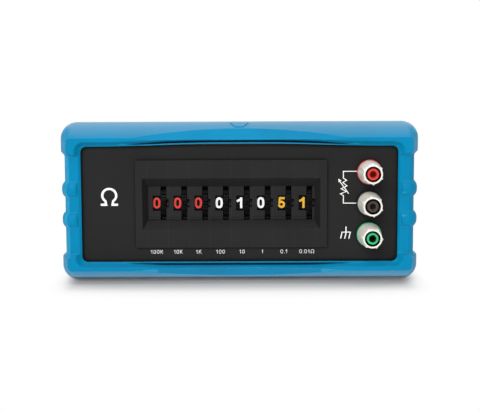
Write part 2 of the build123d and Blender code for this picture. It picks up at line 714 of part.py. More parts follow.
def along_bank(maker):
    """Copies of a module's piece or pieces, one set for each module."""
    made = maker()
    pieces = made if isinstance(made, list) else [made]
    return [Pos(BANK_LEFT + k * MODULE_PITCH, 0, 0) * p for k in range(MODULE_COUNT) for p in pieces]


def link_wires():
    """Straight links from each wafer to the next, high and low in turn."""
    y = WAFER_REAR - LINK_REAR_INSET
    links = []
    for k in range(MODULE_COUNT - 1):
        left = BANK_LEFT + k * MODULE_PITCH + WAFER_RIGHT
        z = MID + (WAFER_HALF_HEIGHT - LINK_EDGE_INSET) * (-1) ** k
        links.append(disc_x(LINK_RADIUS, left, left + MODULE_PITCH - WAFER_THICKNESS, y, z))
    return links


def rod_ends():
    """The outer faces of the retaining clips, left and right."""
    reach = CHEEK_BODY + CLIP_THICKNESS
    return BANK_LEFT - reach, BANK_RIGHT + reach


def tie_rods():
    """Two rods that clamp the bank end to end."""
    left, right = rod_ends()
    over = ROD_NUT_THICKNESS + ROD_END
    return [disc_x(ROD_RADIUS, left - over, right + over, ROD_Y, MID + s * ROD_HEIGHT) for s in (-1, 1)]


def tie_rod_nuts():
    """A nut on each rod end."""
    left, right = rod_ends()
    nuts = []
    for x0, x1 in ((left - ROD_NUT_THICKNESS, left), (right, right + ROD_NUT_THICKNESS)):
        for side in (-1, 1):
            z = MID + side * ROD_HEIGHT
            nut = hexagon_x(ROD_NUT_ACROSS, x0, x1, ROD_Y, z)
            nuts.append(nut - disc_x(ROD_RADIUS + SLIP_FIT, x0 - 1, x1 + 1, ROD_Y, z))
    return nuts


def retaining_clips():
    """Two angle brackets that press on the panel's rear, held by the rod nuts."""
    clips = []
    half_height = ROD_HEIGHT + CLIP_EDGE
    for side in (-1, 1):
        face = BANK_LEFT - CHEEK_BODY if side < 0 else BANK_RIGHT + CHEEK_BODY
        plate_x = sorted((face, face + side * CLIP_THICKNESS))
        foot_x = sorted((face, face + side * (CLIP_THICKNESS + CLIP_FOOT)))
        clip = mid_block(plate_x, (PANEL_REAR, FLANGE_FRONT + CLIP_END_DEPTH), half_height)
        foot = mid_block(foot_x, (PANEL_REAR, PANEL_REAR + CLIP_THICKNESS), half_height)
        clip += foot
        for z in (MID - ROD_HEIGHT, MID + ROD_HEIGHT):
            clip -= disc_x(ROD_RADIUS + SLIP_FIT, plate_x[0] - 1, plate_x[1] + 1, ROD_Y, z)
        clips.append(clip)
    return clips


def post_bar(radius, s0, s1, z):
    """A round bar on a binding post's axis, between two distances forward of the panel."""
    return disc_y(radius, PANEL_FACE - s1, PANEL_FACE - s0, POST_X, z)


def terminal_base(z):
    """The coloured insulating flange, with a neck that fills the panel hole."""
    base = post_bar(BASE_RADIUS, 0, BASE_THICKNESS, z)
    base += post_bar(POST_HOLE_RADIUS - SLIP_FIT, -PANEL_THICKNESS, 0, z)
    return base - post_bar(STUD_RADIUS + SLIP_FIT, -PANEL_THICKNESS - 1, BASE_THICKNESS + 1, z)


def terminal_stud(z):
    """The metal stud with its plug socket and cross hole."""
    stud = post_bar(STUD_RADIUS, -STUD_REAR, STUD_SHOULDER, z)
    stud += post_bar(STUD_NOSE_RADIUS, STUD_SHOULDER, STUD_FRONT, z)
    stud -= post_bar(SOCKET_RADIUS, SOCKET_FLOOR, STUD_FRONT + 1, z)
    hole_y = PANEL_FACE - BASE_THICKNESS - WIRE_HOLE_RISE
    return stud - Pos(POST_X, hole_y, z) * Cylinder(WIRE_HOLE_RADIUS, 4 * STUD_RADIUS)


def terminal_tip(z):
    """The coloured ring on the stud's nose."""
    tip = post_bar(TIP_RADIUS, STUD_SHOULDER, STUD_FRONT + TIP_FACE, z)
    tip -= post_bar(STUD_NOSE_RADIUS + SLIP_FIT, STUD_SHOULDER - 1, STUD_FRONT, z)
    return tip - post_bar(TIP_BORE_RADIUS, STUD_SHOULDER, STUD_FRONT + 1, z)


def terminal_cap(z, turn):
    """The screw cap: a ribbed cone with a deep recess and a bore for its threaded insert."""
    profile = make_face(
        Polyline(
            (WASHER_RADIUS + WASHER_PLAY, CAP_START),
            (CAP_BASE_RADIUS, CAP_START),
            (CAP_FRONT_RADIUS, CAP_END - CAP_FRONT_ROUND),
            (CAP_FRONT_RADIUS - CAP_FRONT_ROUND, CAP_END),
            (CAP_RECESS_RADIUS, CAP_END),
            (CAP_RECESS_RADIUS, INSERT_END),
            (INSERT_RADIUS, INSERT_END),
            (INSERT_RADIUS, INSERT_START),
            (WASHER_RADIUS + WASHER_PLAY, INSERT_START),
            close=True,
        )
    )
    plane = Plane((POST_X, PANEL_FACE, z), x_dir=(1, 0, 0), z_dir=(0, 0, 1))
    cap = revolve(plane * mirror(profile, Plane.XZ), Axis((POST_X, 0, z), (0, 1, 0)), 360)
    rib_length = CAP_LENGTH - 2 * CAP_RIB_INSET
    lean = math.atan2(CAP_BASE_RADIUS - CAP_FRONT_RADIUS, CAP_LENGTH)
    middle = (CAP_BASE_RADIUS + CAP_FRONT_RADIUS) / 2
    depth = 1.0
    for k in range(CAP_RIBS):
        rib = Box(CAP_RIB_WIDTH, rib_length, CAP_RIB_RISE + depth)
        rib = Pos(0, 0, middle + (CAP_RIB_RISE - depth) / 2) * Rot(math.degrees(lean), 0, 0) * rib
        place = Pos(POST_X, PANEL_FACE - (CAP_START + CAP_END) / 2, z)
        cap += place * Rot(0, -turn - 360 / CAP_RIBS * k, 0) * rib
    return cap


def thread_insert(z):
    """The threaded metal insert that is moulded into a screw cap."""
    insert = post_bar(INSERT_RADIUS, INSERT_START, INSERT_END, z)
    return insert - post_bar(STUD_RADIUS + RUNNING_FIT, INSERT_START - 1, INSERT_END + 1, z)


def clamp_washer(z):
    """The captive washer in the cap's mouth, which slides on the stud and presses the wire."""
    start = CAP_START + WASHER_GAP
    washer = post_bar(WASHER_RADIUS, start, WASHER_END, z)
    return washer - post_bar(STUD_RADIUS + RUNNING_FIT, start - 1, WASHER_END + 1, z)


def rear_stack():
    """Distances behind the panel face at which bush, nut, tag and lock nut begin and end."""
    bush = PANEL_THICKNESS + BUSH_THICKNESS
    nut = bush + POST_NUT_THICKNESS
    tag = nut + TAG_THICKNESS
    return PANEL_THICKNESS, bush, nut, tag, tag + POST_NUT_THICKNESS


def terminal_rear_bush(z):
    """The insulating washer behind the panel."""
    front, rear = rear_stack()[:2]
    return post_bar(BUSH_RADIUS, -rear, -front, z) - post_bar(STUD_RADIUS + SLIP_FIT, -rear - 1, 0, z)


def terminal_nut_pair(z):
    """The two nuts on a stud, one each side of the solder tag."""
    stack = rear_stack()
    nuts = []
    for front, rear in ((stack[1], stack[2]), (stack[3], stack[4])):
        nut = hexagon_y(POST_NUT_ACROSS, PANEL_FACE + front, PANEL_FACE + rear, POST_X, z)
        nuts.append(nut - post_bar(STUD_RADIUS + SLIP_FIT, -rear - 1, -front + 1, z))
    return nuts


def solder_tag(z):
    """A ring tag whose tail points at the bank."""
    front, rear = rear_stack()[2:4]
    ys = (PANEL_FACE + front, PANEL_FACE + rear)
    tag = post_bar(TAG_RADIUS, -rear, -front, z)
    tag += block((POST_X - TAG_REACH, POST_X), ys, (z - TAG_WIDTH / 2, z + TAG_WIDTH / 2))
    return tag - post_bar(STUD_RADIUS + SLIP_FIT, -rear - 1, -front + 1, z)


def terminal_leads():
    """Three insulated leads, from the solder tags to the bank's end wafers and its right clip."""
    tag_rear = PANEL_FACE + rear_stack()[3]
    start_x = POST_X - TAG_REACH + TAG_WIDTH / 2
    first_wafer = BANK_LEFT + WAFER_GAP + WAFER_THICKNESS / 2
    last_wafer = first_wafer + (MODULE_COUNT - 1) * MODULE_PITCH
    clip_face = rod_ends()[1]
    clip_y = FLANGE_FRONT + CLIP_END_DEPTH - LEAD_CLIP_INSET
    top, middle, bottom = post_heights()
    above = MID + POCKET_HALF_HEIGHT + 6
    red = [
        (start_x, tag_rear, top),
        (start_x, tag_rear + 20, top),
        (start_x - 12, WAFER_REAR - 4, above),
        (BANK_CENTRE + 15, WAFER_REAR + 15, above + 2),
        (first_wafer, WAFER_REAR + LEAD_SAG_BEHIND, MID + 9),
        (first_wafer, WAFER_REAR, MID + 9),
    ]
    black = [
        (start_x, tag_rear, middle),
        (start_x, tag_rear + 30, middle),
        (last_wafer, WAFER_REAR + LEAD_SAG_BEHIND, middle + 3),
        (last_wafer, WAFER_REAR, middle + 3),
    ]
    earth = [
        (start_x, tag_rear, bottom),
        (start_x, tag_rear + 9, bottom),
        (clip_face + 9, clip_y, bottom + 8),
        (clip_face, clip_y, bottom + 8),
    ]
    return [lead_tube(route) for route in (red, black, earth)]


def lead_tube(route):
    """A round lead along straight runs that arcs join."""
    points = [Vector(*p) for p in route]
    radii = []
    for before, here, after in zip(points, points[1:], points[2:]):
        turn = (here - before).get_angle(after - here)
        shorter = min((here - before).length, (after - here).length)
        radii.append(0.45 * shorter / math.tan(math.radians(turn) / 2))
    path = FilletPolyline(*points, radius=radii)
    start = Plane(origin=path @ 0, z_dir=path % 0)
    return sweep(start * Circle(LEAD_RADIUS), path)


def write(name, pieces):
    """Write one sub-part, which may be a group of separate solids."""
    solids = []
    for piece in pieces if isinstance(pieces, list) else [pieces]:
        solids += piece.solids()
    shape = solids[0] if len(solids) == 1 else Compound(children=solids)
    export_step(shape, f"parts/{name}.step")


def main():
    os.makedirs("parts", exist_ok=True)
    write("boot", boot())
    top, bottom = case_shells()
    write("case_top", top)
    write("case_bottom", bottom)
    write("case_screws", case_screws())
    write("front_panel", front_panel())
    write("rear_panel", plain_panel(-PANEL_REAR))
    write("left_end_cheek", end_cheek(-1))
    write("right_end_cheek", end_cheek(1))
    for name, maker in (("switch_housing", switch_housing), ("thumbwheel", thumbwheel), ("wiper", wiper)):
        for number, piece in enumerate(along_bank(maker), 1):
            write(f"{name}_{number}", piece)
    write("switch_wafers", along_bank(switch_wafer))
    write("wheel_axles", along_bank(wheel_axle))
    write("detent_springs", along_bank(detent_spring))
    write("decade_resistors", along_bank(wafer_resistors))
    write("link_wires", link_wires())
    write("tie_rods", tie_rods())
    write("tie_rod_nuts", tie_rod_nuts())
    write("retaining_clips", retaining_clips())
    heights = post_heights()
    for colour, turn, z in zip(POST_COLOURS, CAP_TURNS, heights):
        write(f"{colour}_terminal_base", terminal_base(z))
        write(f"{colour}_terminal_tip", terminal_tip(z))
        write(f"{colour}_terminal_cap", terminal_cap(z, turn))
        write(f"{colour}_thread_insert", thread_insert(z))
        write(f"{colour}_clamp_washer", clamp_washer(z))
    write("terminal_studs", [terminal_stud(z) for z in heights])
    write("terminal_rear_bushes", [terminal_rear_bush(z) for z in heights])
    write("terminal_nuts", [nut for z in heights for nut in terminal_nut_pair(z)])
    write("solder_tags", [solder_tag(z) for z in heights])
    write("terminal_leads", terminal_leads())


main()
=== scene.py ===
import math

import bpy
import numpy as np
from mathutils import Matrix, Vector


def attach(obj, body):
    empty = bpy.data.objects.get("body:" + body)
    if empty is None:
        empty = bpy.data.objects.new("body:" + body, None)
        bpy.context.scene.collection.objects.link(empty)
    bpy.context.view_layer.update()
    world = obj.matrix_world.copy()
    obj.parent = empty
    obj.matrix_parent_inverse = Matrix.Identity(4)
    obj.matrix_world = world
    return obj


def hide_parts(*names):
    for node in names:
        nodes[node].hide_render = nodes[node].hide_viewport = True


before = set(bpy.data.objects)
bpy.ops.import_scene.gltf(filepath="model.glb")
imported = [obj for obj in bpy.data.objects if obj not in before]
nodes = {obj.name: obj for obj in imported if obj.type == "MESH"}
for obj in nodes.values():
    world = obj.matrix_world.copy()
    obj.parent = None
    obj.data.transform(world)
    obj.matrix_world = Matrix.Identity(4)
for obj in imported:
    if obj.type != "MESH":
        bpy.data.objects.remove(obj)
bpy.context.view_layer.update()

# A resistance decade box in a rubber boot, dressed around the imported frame. Lengths are in mm unless a
# comment says metres, and are turned into metres when a mesh is made.
MM = 0.001
MID = 48.2
PANEL_FACE = -58.5

# Boot: its outline and the profile from the panel's opening to the shoulder
HALF_WIDTH = 106.0
BUMPER_HALF_WIDTH = 109.5
HALF_HEIGHT = 48.2
HALF_DEPTH = 65.0
SHOULDER = 50.0
SIDE_SHOULDER = 58.7
BOOT_CORNER = 10.0
CREASE_SIDE = 5.5
CREASE_TOP = 8.1
CREASE_CORNER = 3.0
CROWN_LIFT = 1.3
CROWN_START = 34.0
CROWN_RUN = 4.2
REAR_LIFT = -2.2
# Half width, half height and corner radius
OPENING = (95.5, 35.0, 3.5)
CAVITY = (101.1, 40.6, 6.1)
CAVITY_END = 60.1
LIP_CREST = 61.8
LIP_WIDTH = 0.8
LIP_ROUNDER = 0.3
GROOVE = 61.2
GROOVE_INSET = 1.25
GROOVE_ROUNDER = 0.5
RING_INSET_SIDE = 3.7
RING_INSET_TOP = 2.9
RING_ROUNDER = 2.6
RING_BOW = 0.8
TOP_BUMPER_EDGE = (29.4, 31.9)
BOTTOM_BUMPER_EDGE = (30.2, 33.0)
BOW = 1.6
BOW_FADE = (15, 88)

# Recess of the side members between two bumpers
SIDE_RECESS = 2.7
SIDE_RING_PULL = 1.4
SIDE_CREASE_PULL = 1.6

# Scoop of the long members
SCOOP_CHORD = 65.0
SCOOP_SETBACK = 3.2
SCOOP_LEAN = 1.0
SCOOP_LEAST = 0.02
NO_SCOOP = -2.0
DEEP_SCOOP = (0.3, 2.0)
FLAT_RING = (-1.2, 0.6)
FLAT_GROOVE_RISE = 0.95
FLAT_LIP_SINK = 0.15
FLAT_CREST_SINK = 0.7
DEEP_GROOVE_SINK = 0.75
DEEP_GROOVE_WIDER = 0.35
DEEP_RING_WIDER = 0.5
FOOT_SHARE = 0.12
FOOT_MARGIN = 0.25

# Grip ribs and the raised pad
NUB_CENTRE = 9.2
NUB_HALF = 4.6
NUB_PROUD = 1.9
NUB_SQUARENESS = 2.6
NUB_FULLNESS = 0.8
NUB_FADE = (96.2, 99.0)
PAD_START = 10.8
PAD_END = 16.4
PAD_HALF_LOW = 2.75
PAD_HALF_GAIN = 3.75
PAD_SUNK = 0.4
PAD_EDGE = 0.9

# Switch bank
BANK_LEFT = -55.8
PITCH = 12.7
AXLE_Y = -39.9
DRUM_APOTHEM = 13.0
DRUM_FLATS = 10
DIGIT_X = 5.25
DIGIT_HEIGHT = 6.7
DIGIT_WEIGHT = 1.35
DIGIT_ASPECT = 0.67
DIGIT_PROUD = 0.06
READING = (0, 0, 0, 0, 1, 0, 5, 1)

# Print on the panel, and how far its inks lie under and over the face
INK_SUNK = -0.05
INK_PROUD = 0.04
OVER_INK = 0.05
TOP_INK = 0.055
OVERLAP_LIFT = 0.006
LABEL_X = (-50.45, -37.48, -24.99, -11.72, 1.38, 13.8, 26.89, 40.84)
LABELS = ("100K", "10K", "1K", "100", "10", "1", "0.1", "0.01\u03a9")
LABEL_Z = -29.3
LABEL_HEIGHT = 2.35
LABEL_WEIGHT = 0.26
LABEL_ASPECT = 0.66
LONE_ONE_ASPECT = 0.45
LABEL_GAP = 0.23
OHM_PLACE = (-78.9, 4.5)
OHM_HEIGHT = 11.0
OHM_WEIGHT = 1.35
OHM_ASPECT = 0.95
SYMBOL_LINE = 0.52
EARTH_STEM = 0.7
EARTH_TOOTH = 0.62
EARTH_TEETH = (62.2, 64.7, 67.2)
EARTH_LEAN = 0.8

# Binding posts
POST_X = 78.5
POST_PITCH = 19.05
RIB_SPACING = 60
RIB_RISE = 0.75
RIB_HALF = 0.85
RIB_CURVE = 1.3


# ---- meshes ----
def add_mesh(name, verts, faces, mat, body, slot, sharp=None):
    """A mesh piece from points in mm, which rides on a body and takes a material. The slot is not used."""
    mesh = bpy.data.meshes.new(name)
    mesh.from_pydata((np.asarray(verts, float) * MM).tolist(), [], faces)
    mesh.validate()
    obj = bpy.data.objects.new(name, mesh)
    bpy.context.scene.collection.objects.link(obj)
    mesh.materials.append(mat)
    mesh.polygons.foreach_set("use_smooth", [True] * len(mesh.polygons))
    if sharp is not None:
        mesh.set_sharp_from_angle(angle=math.radians(sharp))
    mesh.update()
    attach(obj, body)
    return obj


def band_faces(rows, columns, flipped=False):
    """Quads between the rows of a closed grid, whose last row and column join its first."""
    faces = []
    for i in range(rows):
        a, b = i * columns, (i + 1) % rows * columns
        for j in range(columns):
            k = (j + 1) % columns
            faces.append((a + j, a + k, b + k, b + j) if flipped else (a + j, b + j, b + k, a + k))
    return faces


def merged(solids):
    """Several (points, faces) pairs as one."""
    verts, faces = [], []
    for points, polygons in solids:
        base = len(verts)
        verts += list(points)
        faces += [tuple(base + i for i in polygon) for polygon in polygons]
    return verts, faces


def smoothstep(x, low, high):
    """0 below low, 1 above high and a smooth rise between."""
    t = np.clip((np.asarray(x, float) - low) / (high - low), 0, 1)
    return t * t * (3 - 2 * t)


# ---- materials ----
def linear(*rgb):
    """An sRGB colour from 0 to 255 as linear values."""
    out = []
    for value in rgb:
        c = value / 255
        out.append(c / 12.92 if c <= 0.04045 else ((c + 0.055) / 1.055) ** 2.4)
    return (*out, 1.0)


class Shader:
    """A material and short ways to add nodes to it. Lengths here are in metres."""

    AO_SAMPLES = 8

    def __init__(self, name):
        self.mat = bpy.data.materials.new(name)
        self.mat.use_nodes = True
        self.tree = self.mat.node_tree
        self.bsdf = self.tree.nodes["Principled BSDF"]
        self.coords = self.tree.nodes.new("ShaderNodeTexCoord").outputs["Object"]

    def link(self, a, b):
        self.tree.links.new(a, b)

    def set(self, **values):
        for key, value in values.items():
            self.bsdf.inputs[key.replace("_", " ")].default_value = value

    def noise(self, scale, detail=3.0, roughness=0.55, stretch=None):
        node = self.tree.nodes.new("ShaderNodeTexNoise")
        node.inputs["Scale"].default_value = scale
        node.inputs["Detail"].default_value = detail
        node.inputs["Roughness"].default_value = roughness
        source = self.coords
        if stretch:
            mapping = self.tree.nodes.new("ShaderNodeMapping")
            mapping.inputs["Scale"].default_value = stretch
            self.link(source, mapping.inputs["Vector"])
            source = mapping.outputs["Vector"]
        self.link(source, node.inputs["Vector"])
        return node.outputs["Fac"]

    def spots(self, scale):
        node = self.tree.nodes.new("ShaderNodeTexVoronoi")
        node.inputs["Scale"].default_value = scale
        self.link(self.coords, node.inputs["Vector"])
        return node.outputs["Distance"]

    def remap(self, value, low, high, to_low, to_high):
        node = self.tree.nodes.new("ShaderNodeMapRange")
        for key, number in (("From Min", low), ("From Max", high), ("To Min", to_low), ("To Max", to_high)):
            node.inputs[key].default_value = number
        self.link(value, node.inputs["Value"])
        return node.outputs["Result"]

    def math(self, operation, a, b):
        node = self.tree.nodes.new("ShaderNodeMath")
        node.operation = operation
        for socket, value in zip(node.inputs, (a, b)):
            if isinstance(value, (int, float)):
                socket.default_value = value
            else:
                self.link(value, socket)
        return node.outputs[0]

    def mix(self, fac, a, b):
        """Colour a where fac is 0 and b where it is 1. a and b are colours or outputs."""
        node = self.tree.nodes.new("ShaderNodeMix")
        node.data_type = "RGBA"
        self.link(fac, node.inputs[0])
        for socket, value in ((node.inputs[6], a), (node.inputs[7], b)):
            if isinstance(value, tuple):
                socket.default_value = value
            else:
                self.link(value, socket)
        return node.outputs[2]

    def colour(self, value):
        self.link(value, self.bsdf.inputs["Base Color"])

    def roughness(self, value):
        self.link(value, self.bsdf.inputs["Roughness"])

    def bump(self, *layers):
        """Layers of (height, distance in m, strength), the first one undermost."""
        normal = None
        for height, distance, strength in layers:
            node = self.tree.nodes.new("ShaderNodeBump")
            node.inputs["Distance"].default_value = distance
            node.inputs["Strength"].default_value = strength
            self.link(height, node.inputs["Height"])
            if normal is not None:
                self.link(normal, node.inputs["Normal"])
            normal = node.outputs["Normal"]
        self.link(normal, self.bsdf.inputs["Normal"])

    def crevice(self, distance, low, high):
        """1 deep in a narrow recess and 0 on open faces."""
        node = self.tree.nodes.new("ShaderNodeAmbientOcclusion")
        node.samples = self.AO_SAMPLES
        node.inputs["Distance"].default_value = distance
        return self.remap(node.outputs["AO"], low, high, 1.0, 0.0)

    def edge_highlight_mask(self, radius, low, high):
        """0 on flats and 1 on sharp edges, where a rounded normal turns away from the real one; it places a
        painted edge highlight.
        """
        rounded = self.tree.nodes.new("ShaderNodeBevel")
        rounded.samples = self.AO_SAMPLES
        rounded.inputs["Radius"].default_value = radius
        real = self.tree.nodes.new("ShaderNodeNewGeometry").outputs["Normal"]
        dot = self.tree.nodes.new("ShaderNodeVectorMath")
        dot.operation = "DOT_PRODUCT"
        self.link(rounded.outputs["Normal"], dot.inputs[0])
        self.link(real, dot.inputs[1])
        return self.remap(dot.outputs["Value"], low, high, 1.0, 0.0)

    def edges(self, low, high):
        """0 on flats and 1 on outer edges, from the shape's own convexity."""
        node = self.tree.nodes.new("ShaderNodeNewGeometry")
        return self.remap(node.outputs["Pointiness"], low, high, 0.0, 1.0)

    def axis(self, vector, name):
        """One coordinate of a vector output."""
        node = self.tree.nodes.new("ShaderNodeSeparateXYZ")
        self.link(vector, node.inputs[0])
        return node.outputs[name]

    def clouds(self, scale, detail, to_low=0.0, to_high=1.0, roughness=0.55):
        """A noise spread over a range, for mottling."""
        return self.remap(self.noise(scale, detail, roughness), 0.3, 0.7, to_low, to_high)


def shade(colour, factor):
    """A colour made darker or lighter."""
    return (*[min(1.0, c * factor) for c in colour[:3]], 1.0)


GLOSS_VARY = 0.06
GRAIN_DEPTH = 0.00001
EDGE_HIGHLIGHT_RADIUS = 0.00035
RECESS_SHADE_REACH = 0.0025


def plastic(name, colour, rough, grain=900.0, vary=0.12, coat=0.0, specular=0.5, recess_shade_share=1.0, painted_glow=0.0,
            edge_wear_and_highlight=0.0):
    """Moulded or painted plastic: slight mottling, a fine grain and uneven gloss. The recess share is what is
    left of the colour in a narrow recess, a painted shade, and the edge share is how much lighter the colour
    is on sharp edges, in patches, a painted highlight. A glow share makes the plastic give off a little light
    of its own colour, a painted glow."""
    s = Shader(name)
    s.set(Roughness=rough, Specular_IOR_Level=specular)
    body = s.mix(s.clouds(35.0, 4.0), shade(colour, 1 - vary), shade(colour, 1 + vary))
    if edge_wear_and_highlight:
        # Painted highlight: the colour is made lighter on sharp edges, in patches
        patches = s.remap(s.noise(180.0, 4.0), 0.35, 0.6, 0.3, 1.0)
        edge = s.math("MULTIPLY", s.edge_highlight_mask(EDGE_HIGHLIGHT_RADIUS, 0.8, 0.99), patches)
        body = s.mix(edge, body, shade(colour, edge_wear_and_highlight))
    # Painted shade: the colour is darker in narrow recesses
    if recess_shade_share < 1:
        body = s.mix(s.crevice(RECESS_SHADE_REACH, 0.2, 0.75), body, shade(colour, recess_shade_share))
    s.colour(body)
    s.roughness(s.clouds(60.0, 5.0, rough - GLOSS_VARY, rough + GLOSS_VARY, 0.6))
    s.bump((s.noise(grain, 2.0), GRAIN_DEPTH, 0.5))
    if coat:
        s.set(Coat_Weight=coat, Coat_Roughness=0.12)
    if painted_glow:
        # painted glow: the plastic gives off a little light of its own colour round a deep socket
        s.set(Emission_Color=colour, Emission_Strength=painted_glow)
    return s.mat


def metal(name, colour, rough, lines=(1.0, 1.0, 1.0)):
    """Plated metal with fine turning or rolling lines."""
    s = Shader(name)
    s.set(Metallic=1.0, Roughness=rough)
    s.colour(s.mix(s.clouds(80.0, 4.0), shade(colour, 0.86), colour))
    s.roughness(s.clouds(150.0, 4.0, rough * 0.75, rough * 1.3))
    s.bump((s.noise(1500.0, 2.0, 0.5, lines), 0.000006, 0.35))
    return s.mat


def rubber():
    """The boot's blue rubber: satin, faintly mottled, finely pebbled and scuffed paler on its edges, with a
    painted sheen on its bevels and crown and painted shade in its recesses.
    """
    s = Shader("boot_rubber")
    deep, plain, pale = linear(0, 124, 168), linear(0, 137, 184), linear(52, 158, 198)
    painted_sheen_tint, shadow = linear(100, 150, 180), linear(0, 14, 38)
    s.set(Roughness=0.4, Specular_IOR_Level=0.07, Sheen_Roughness=0.35)
    scuffs = s.remap(s.noise(260.0, 5.0, 0.7), 0.35, 0.65, 0.3, 0.8)
    edge_wear_and_highlight = s.math("MULTIPLY", s.edges(0.51, 0.56), scuffs)
    open_face = s.mix(edge_wear_and_highlight, s.mix(s.clouds(18.0, 4.0), deep, plain), pale)
    # painted sheen: a paler colour on the bevels and the crown, where the light glances off them
    height = s.axis(s.coords, "Z")
    outward = s.math("ABSOLUTE", s.math("SUBTRACT", height, MID * MM), 0.0)
    normal = s.tree.nodes.new("ShaderNodeNewGeometry").outputs["Normal"]
    level = s.math("ABSOLUTE", s.axis(normal, "Z"), 0.0)
    bevels = s.math("MULTIPLY", s.remap(level, 0.75, 0.86, 0.0, 1.0), s.remap(level, 0.94, 0.995, 1.0, 0.35))
    rims = s.math("MULTIPLY", bevels, s.remap(outward, 0.0395, 0.0475, 0.05, 1.0))
    with_painted_sheen = s.mix(s.math("MULTIPLY", rims, 0.8), open_face, painted_sheen_tint)
    body = s.mix(s.crevice(0.004, 0.4, 0.8), with_painted_sheen, shadow)
    # Light that the boot throws on the floor is nearly grey, as in the photograph's retouched shadow
    thrown = s.tree.nodes.new("ShaderNodeLightPath").outputs["Is Diffuse Ray"]
    s.colour(s.mix(s.math("MULTIPLY", thrown, 0.75), body, (0.2, 0.2, 0.2, 1)))
    s.roughness(s.clouds(45.0, 5.0, 0.36, 0.5, 0.65))
    s.link(s.remap(height, 0.090, 0.097, 0.0, 0.7), s.bsdf.inputs["Sheen Weight"])
    s.bump((s.noise(40.0, 3.0), 0.0002, 0.12), (s.noise(1600.0, 2.0), 0.00003, 0.35))
    return s.mat


def overlay():
    """The panel's matt charcoal film, with a fine emboss."""
    s = Shader("panel_overlay")
    dark, light, shadow = linear(27, 27, 27), linear(34, 34, 34), linear(6, 6, 7)
    s.set(Roughness=0.5, Specular_IOR_Level=0.15)
    film = s.mix(s.clouds(9.0, 3.0), dark, light)
    s.colour(s.mix(s.crevice(0.004, 0.45, 0.85), film, shadow))
    s.roughness(s.clouds(70.0, 5.0, 0.44, 0.58, 0.6))
    s.bump((s.spots(2600.0), 0.00002, 0.3), (s.noise(500.0, 3.0), 0.00001, 0.3))
    return s.mat


rubber_blue = rubber()
panel_black = overlay()
case_dark = plastic("case_plastic", linear(40, 42, 45), 0.5)
# The switch and wheel blacks carry painted shade in narrow recesses and a painted highlight on sharp edges
switch_black = plastic("switch_black", linear(33, 33, 33), 0.42, 700.0, specular=0.15, recess_shade_share=0.15, edge_wear_and_highlight=2.2)
wheel_black = plastic("wheel_black", linear(9, 9, 10), 0.4, 700.0, specular=0.06, recess_shade_share=0.3, edge_wear_and_highlight=14.0)
cap_white = plastic("cap_white", linear(240, 237, 228), 0.32, 400.0, vary=0.03)
post_red = plastic("terminal_red", linear(214, 38, 32), 0.28, coat=0.3)
post_black = plastic("terminal_black", linear(38, 34, 33), 0.3, coat=0.3)
post_green = plastic("terminal_green", linear(10, 190, 116), 0.28, coat=0.3)
# Socket plastics with a painted glow
bore_red = plastic("terminal_red_bore", linear(170, 44, 30), 0.4, painted_glow=0.1)
bore_black = plastic("terminal_black_bore", linear(84, 60, 48), 0.4, painted_glow=0.1)
bore_green = plastic("terminal_green_bore", linear(6, 44, 28), 0.4, painted_glow=0.1)
# Dark copies of the terminal colours: painted shade in the caps' recesses
painted_shade_red = plastic("terminal_red_recess_shade", linear(56, 16, 12), 0.4)
painted_shade_black = plastic("terminal_black_recess_shade", linear(34, 24, 20), 0.4)
painted_shade_green = plastic("terminal_green_recess_shade", linear(6, 26, 18), 0.4)
nickel = metal("plated_brass", linear(205, 200, 188), 0.24, (1.0, 0.05, 1.0))
steel = metal("steel", linear(176, 178, 182), 0.34, (1.0, 8.0, 1.0))
blackened = metal("blackened_steel", linear(34, 34, 36), 0.45)
spring_steel = metal("spring_steel", linear(170, 172, 178), 0.25, (1.0, 1.0, 0.1))
copper = metal("tinned_copper", linear(214, 212, 206), 0.28)
board_green = plastic("board", linear(24, 88, 56), 0.36, 300.0, vary=0.2)
resistor_blue = plastic("resistor_blue", linear(60, 150, 190), 0.35, 300.0)
wire_red = plastic("lead_insulation", linear(190, 60, 50), 0.4)
ink_white = plastic("ink_white", linear(252, 252, 250), 0.45, vary=0.02)
ink_red = plastic("ink_red", linear(214, 48, 30), 0.45, vary=0.05)
ink_yellow = plastic("ink_yellow", linear(236, 180, 40), 0.45, vary=0.05)


def finish(name, mat):
    """Gives a carried node its finish."""
    nodes[name].data.materials.clear()
    nodes[name].data.materials.append(mat)


for name, mat in (
    ("case_top", case_dark), ("case_bottom", case_dark), ("case_screws", steel),
    ("front_panel", panel_black), ("rear_panel", panel_black),
    ("left_end_cheek", switch_black), ("right_end_cheek", switch_black),
    ("switch_wafers", board_green), ("wheel_axles", blackened), ("detent_springs", spring_steel),
    ("decade_resistors", resistor_blue), ("link_wires", copper), ("tie_rods", steel),
    ("tie_rod_nuts", steel), ("retaining_clips", steel), ("terminal_studs", nickel),
    ("terminal_rear_bushes", post_black), ("terminal_nuts", nickel), ("solder_tags", copper),
    ("terminal_leads", wire_red),
):
    finish(name, mat)
for k in range(1, len(READING) + 1):
    finish(f"switch_housing_{k}", switch_black)
    finish(f"thumbwheel_{k}", wheel_black)
    finish(f"wiper_{k}", nickel)
for colour, mat in (("red", post_red), ("black", post_black), ("green", post_green)):
    finish(f"{colour}_terminal_base", mat)
    finish(f"{colour}_terminal_tip", mat)
    finish(f"{colour}_terminal_cap", cap_white)
    finish(f"{colour}_clamp_washer", nickel)
    finish(f"{colour}_thread_insert", nickel)


# ---- boot ----
SIDE_NOMINAL = 34.0
SIDE_KNEE = 28.0
TOP_NOMINAL = 90.0
TOP_KNEE = 84.0
ARC_STEPS = 12
SIDE_GAP_STEPS = 3
TOP_GAP_STEPS = 2
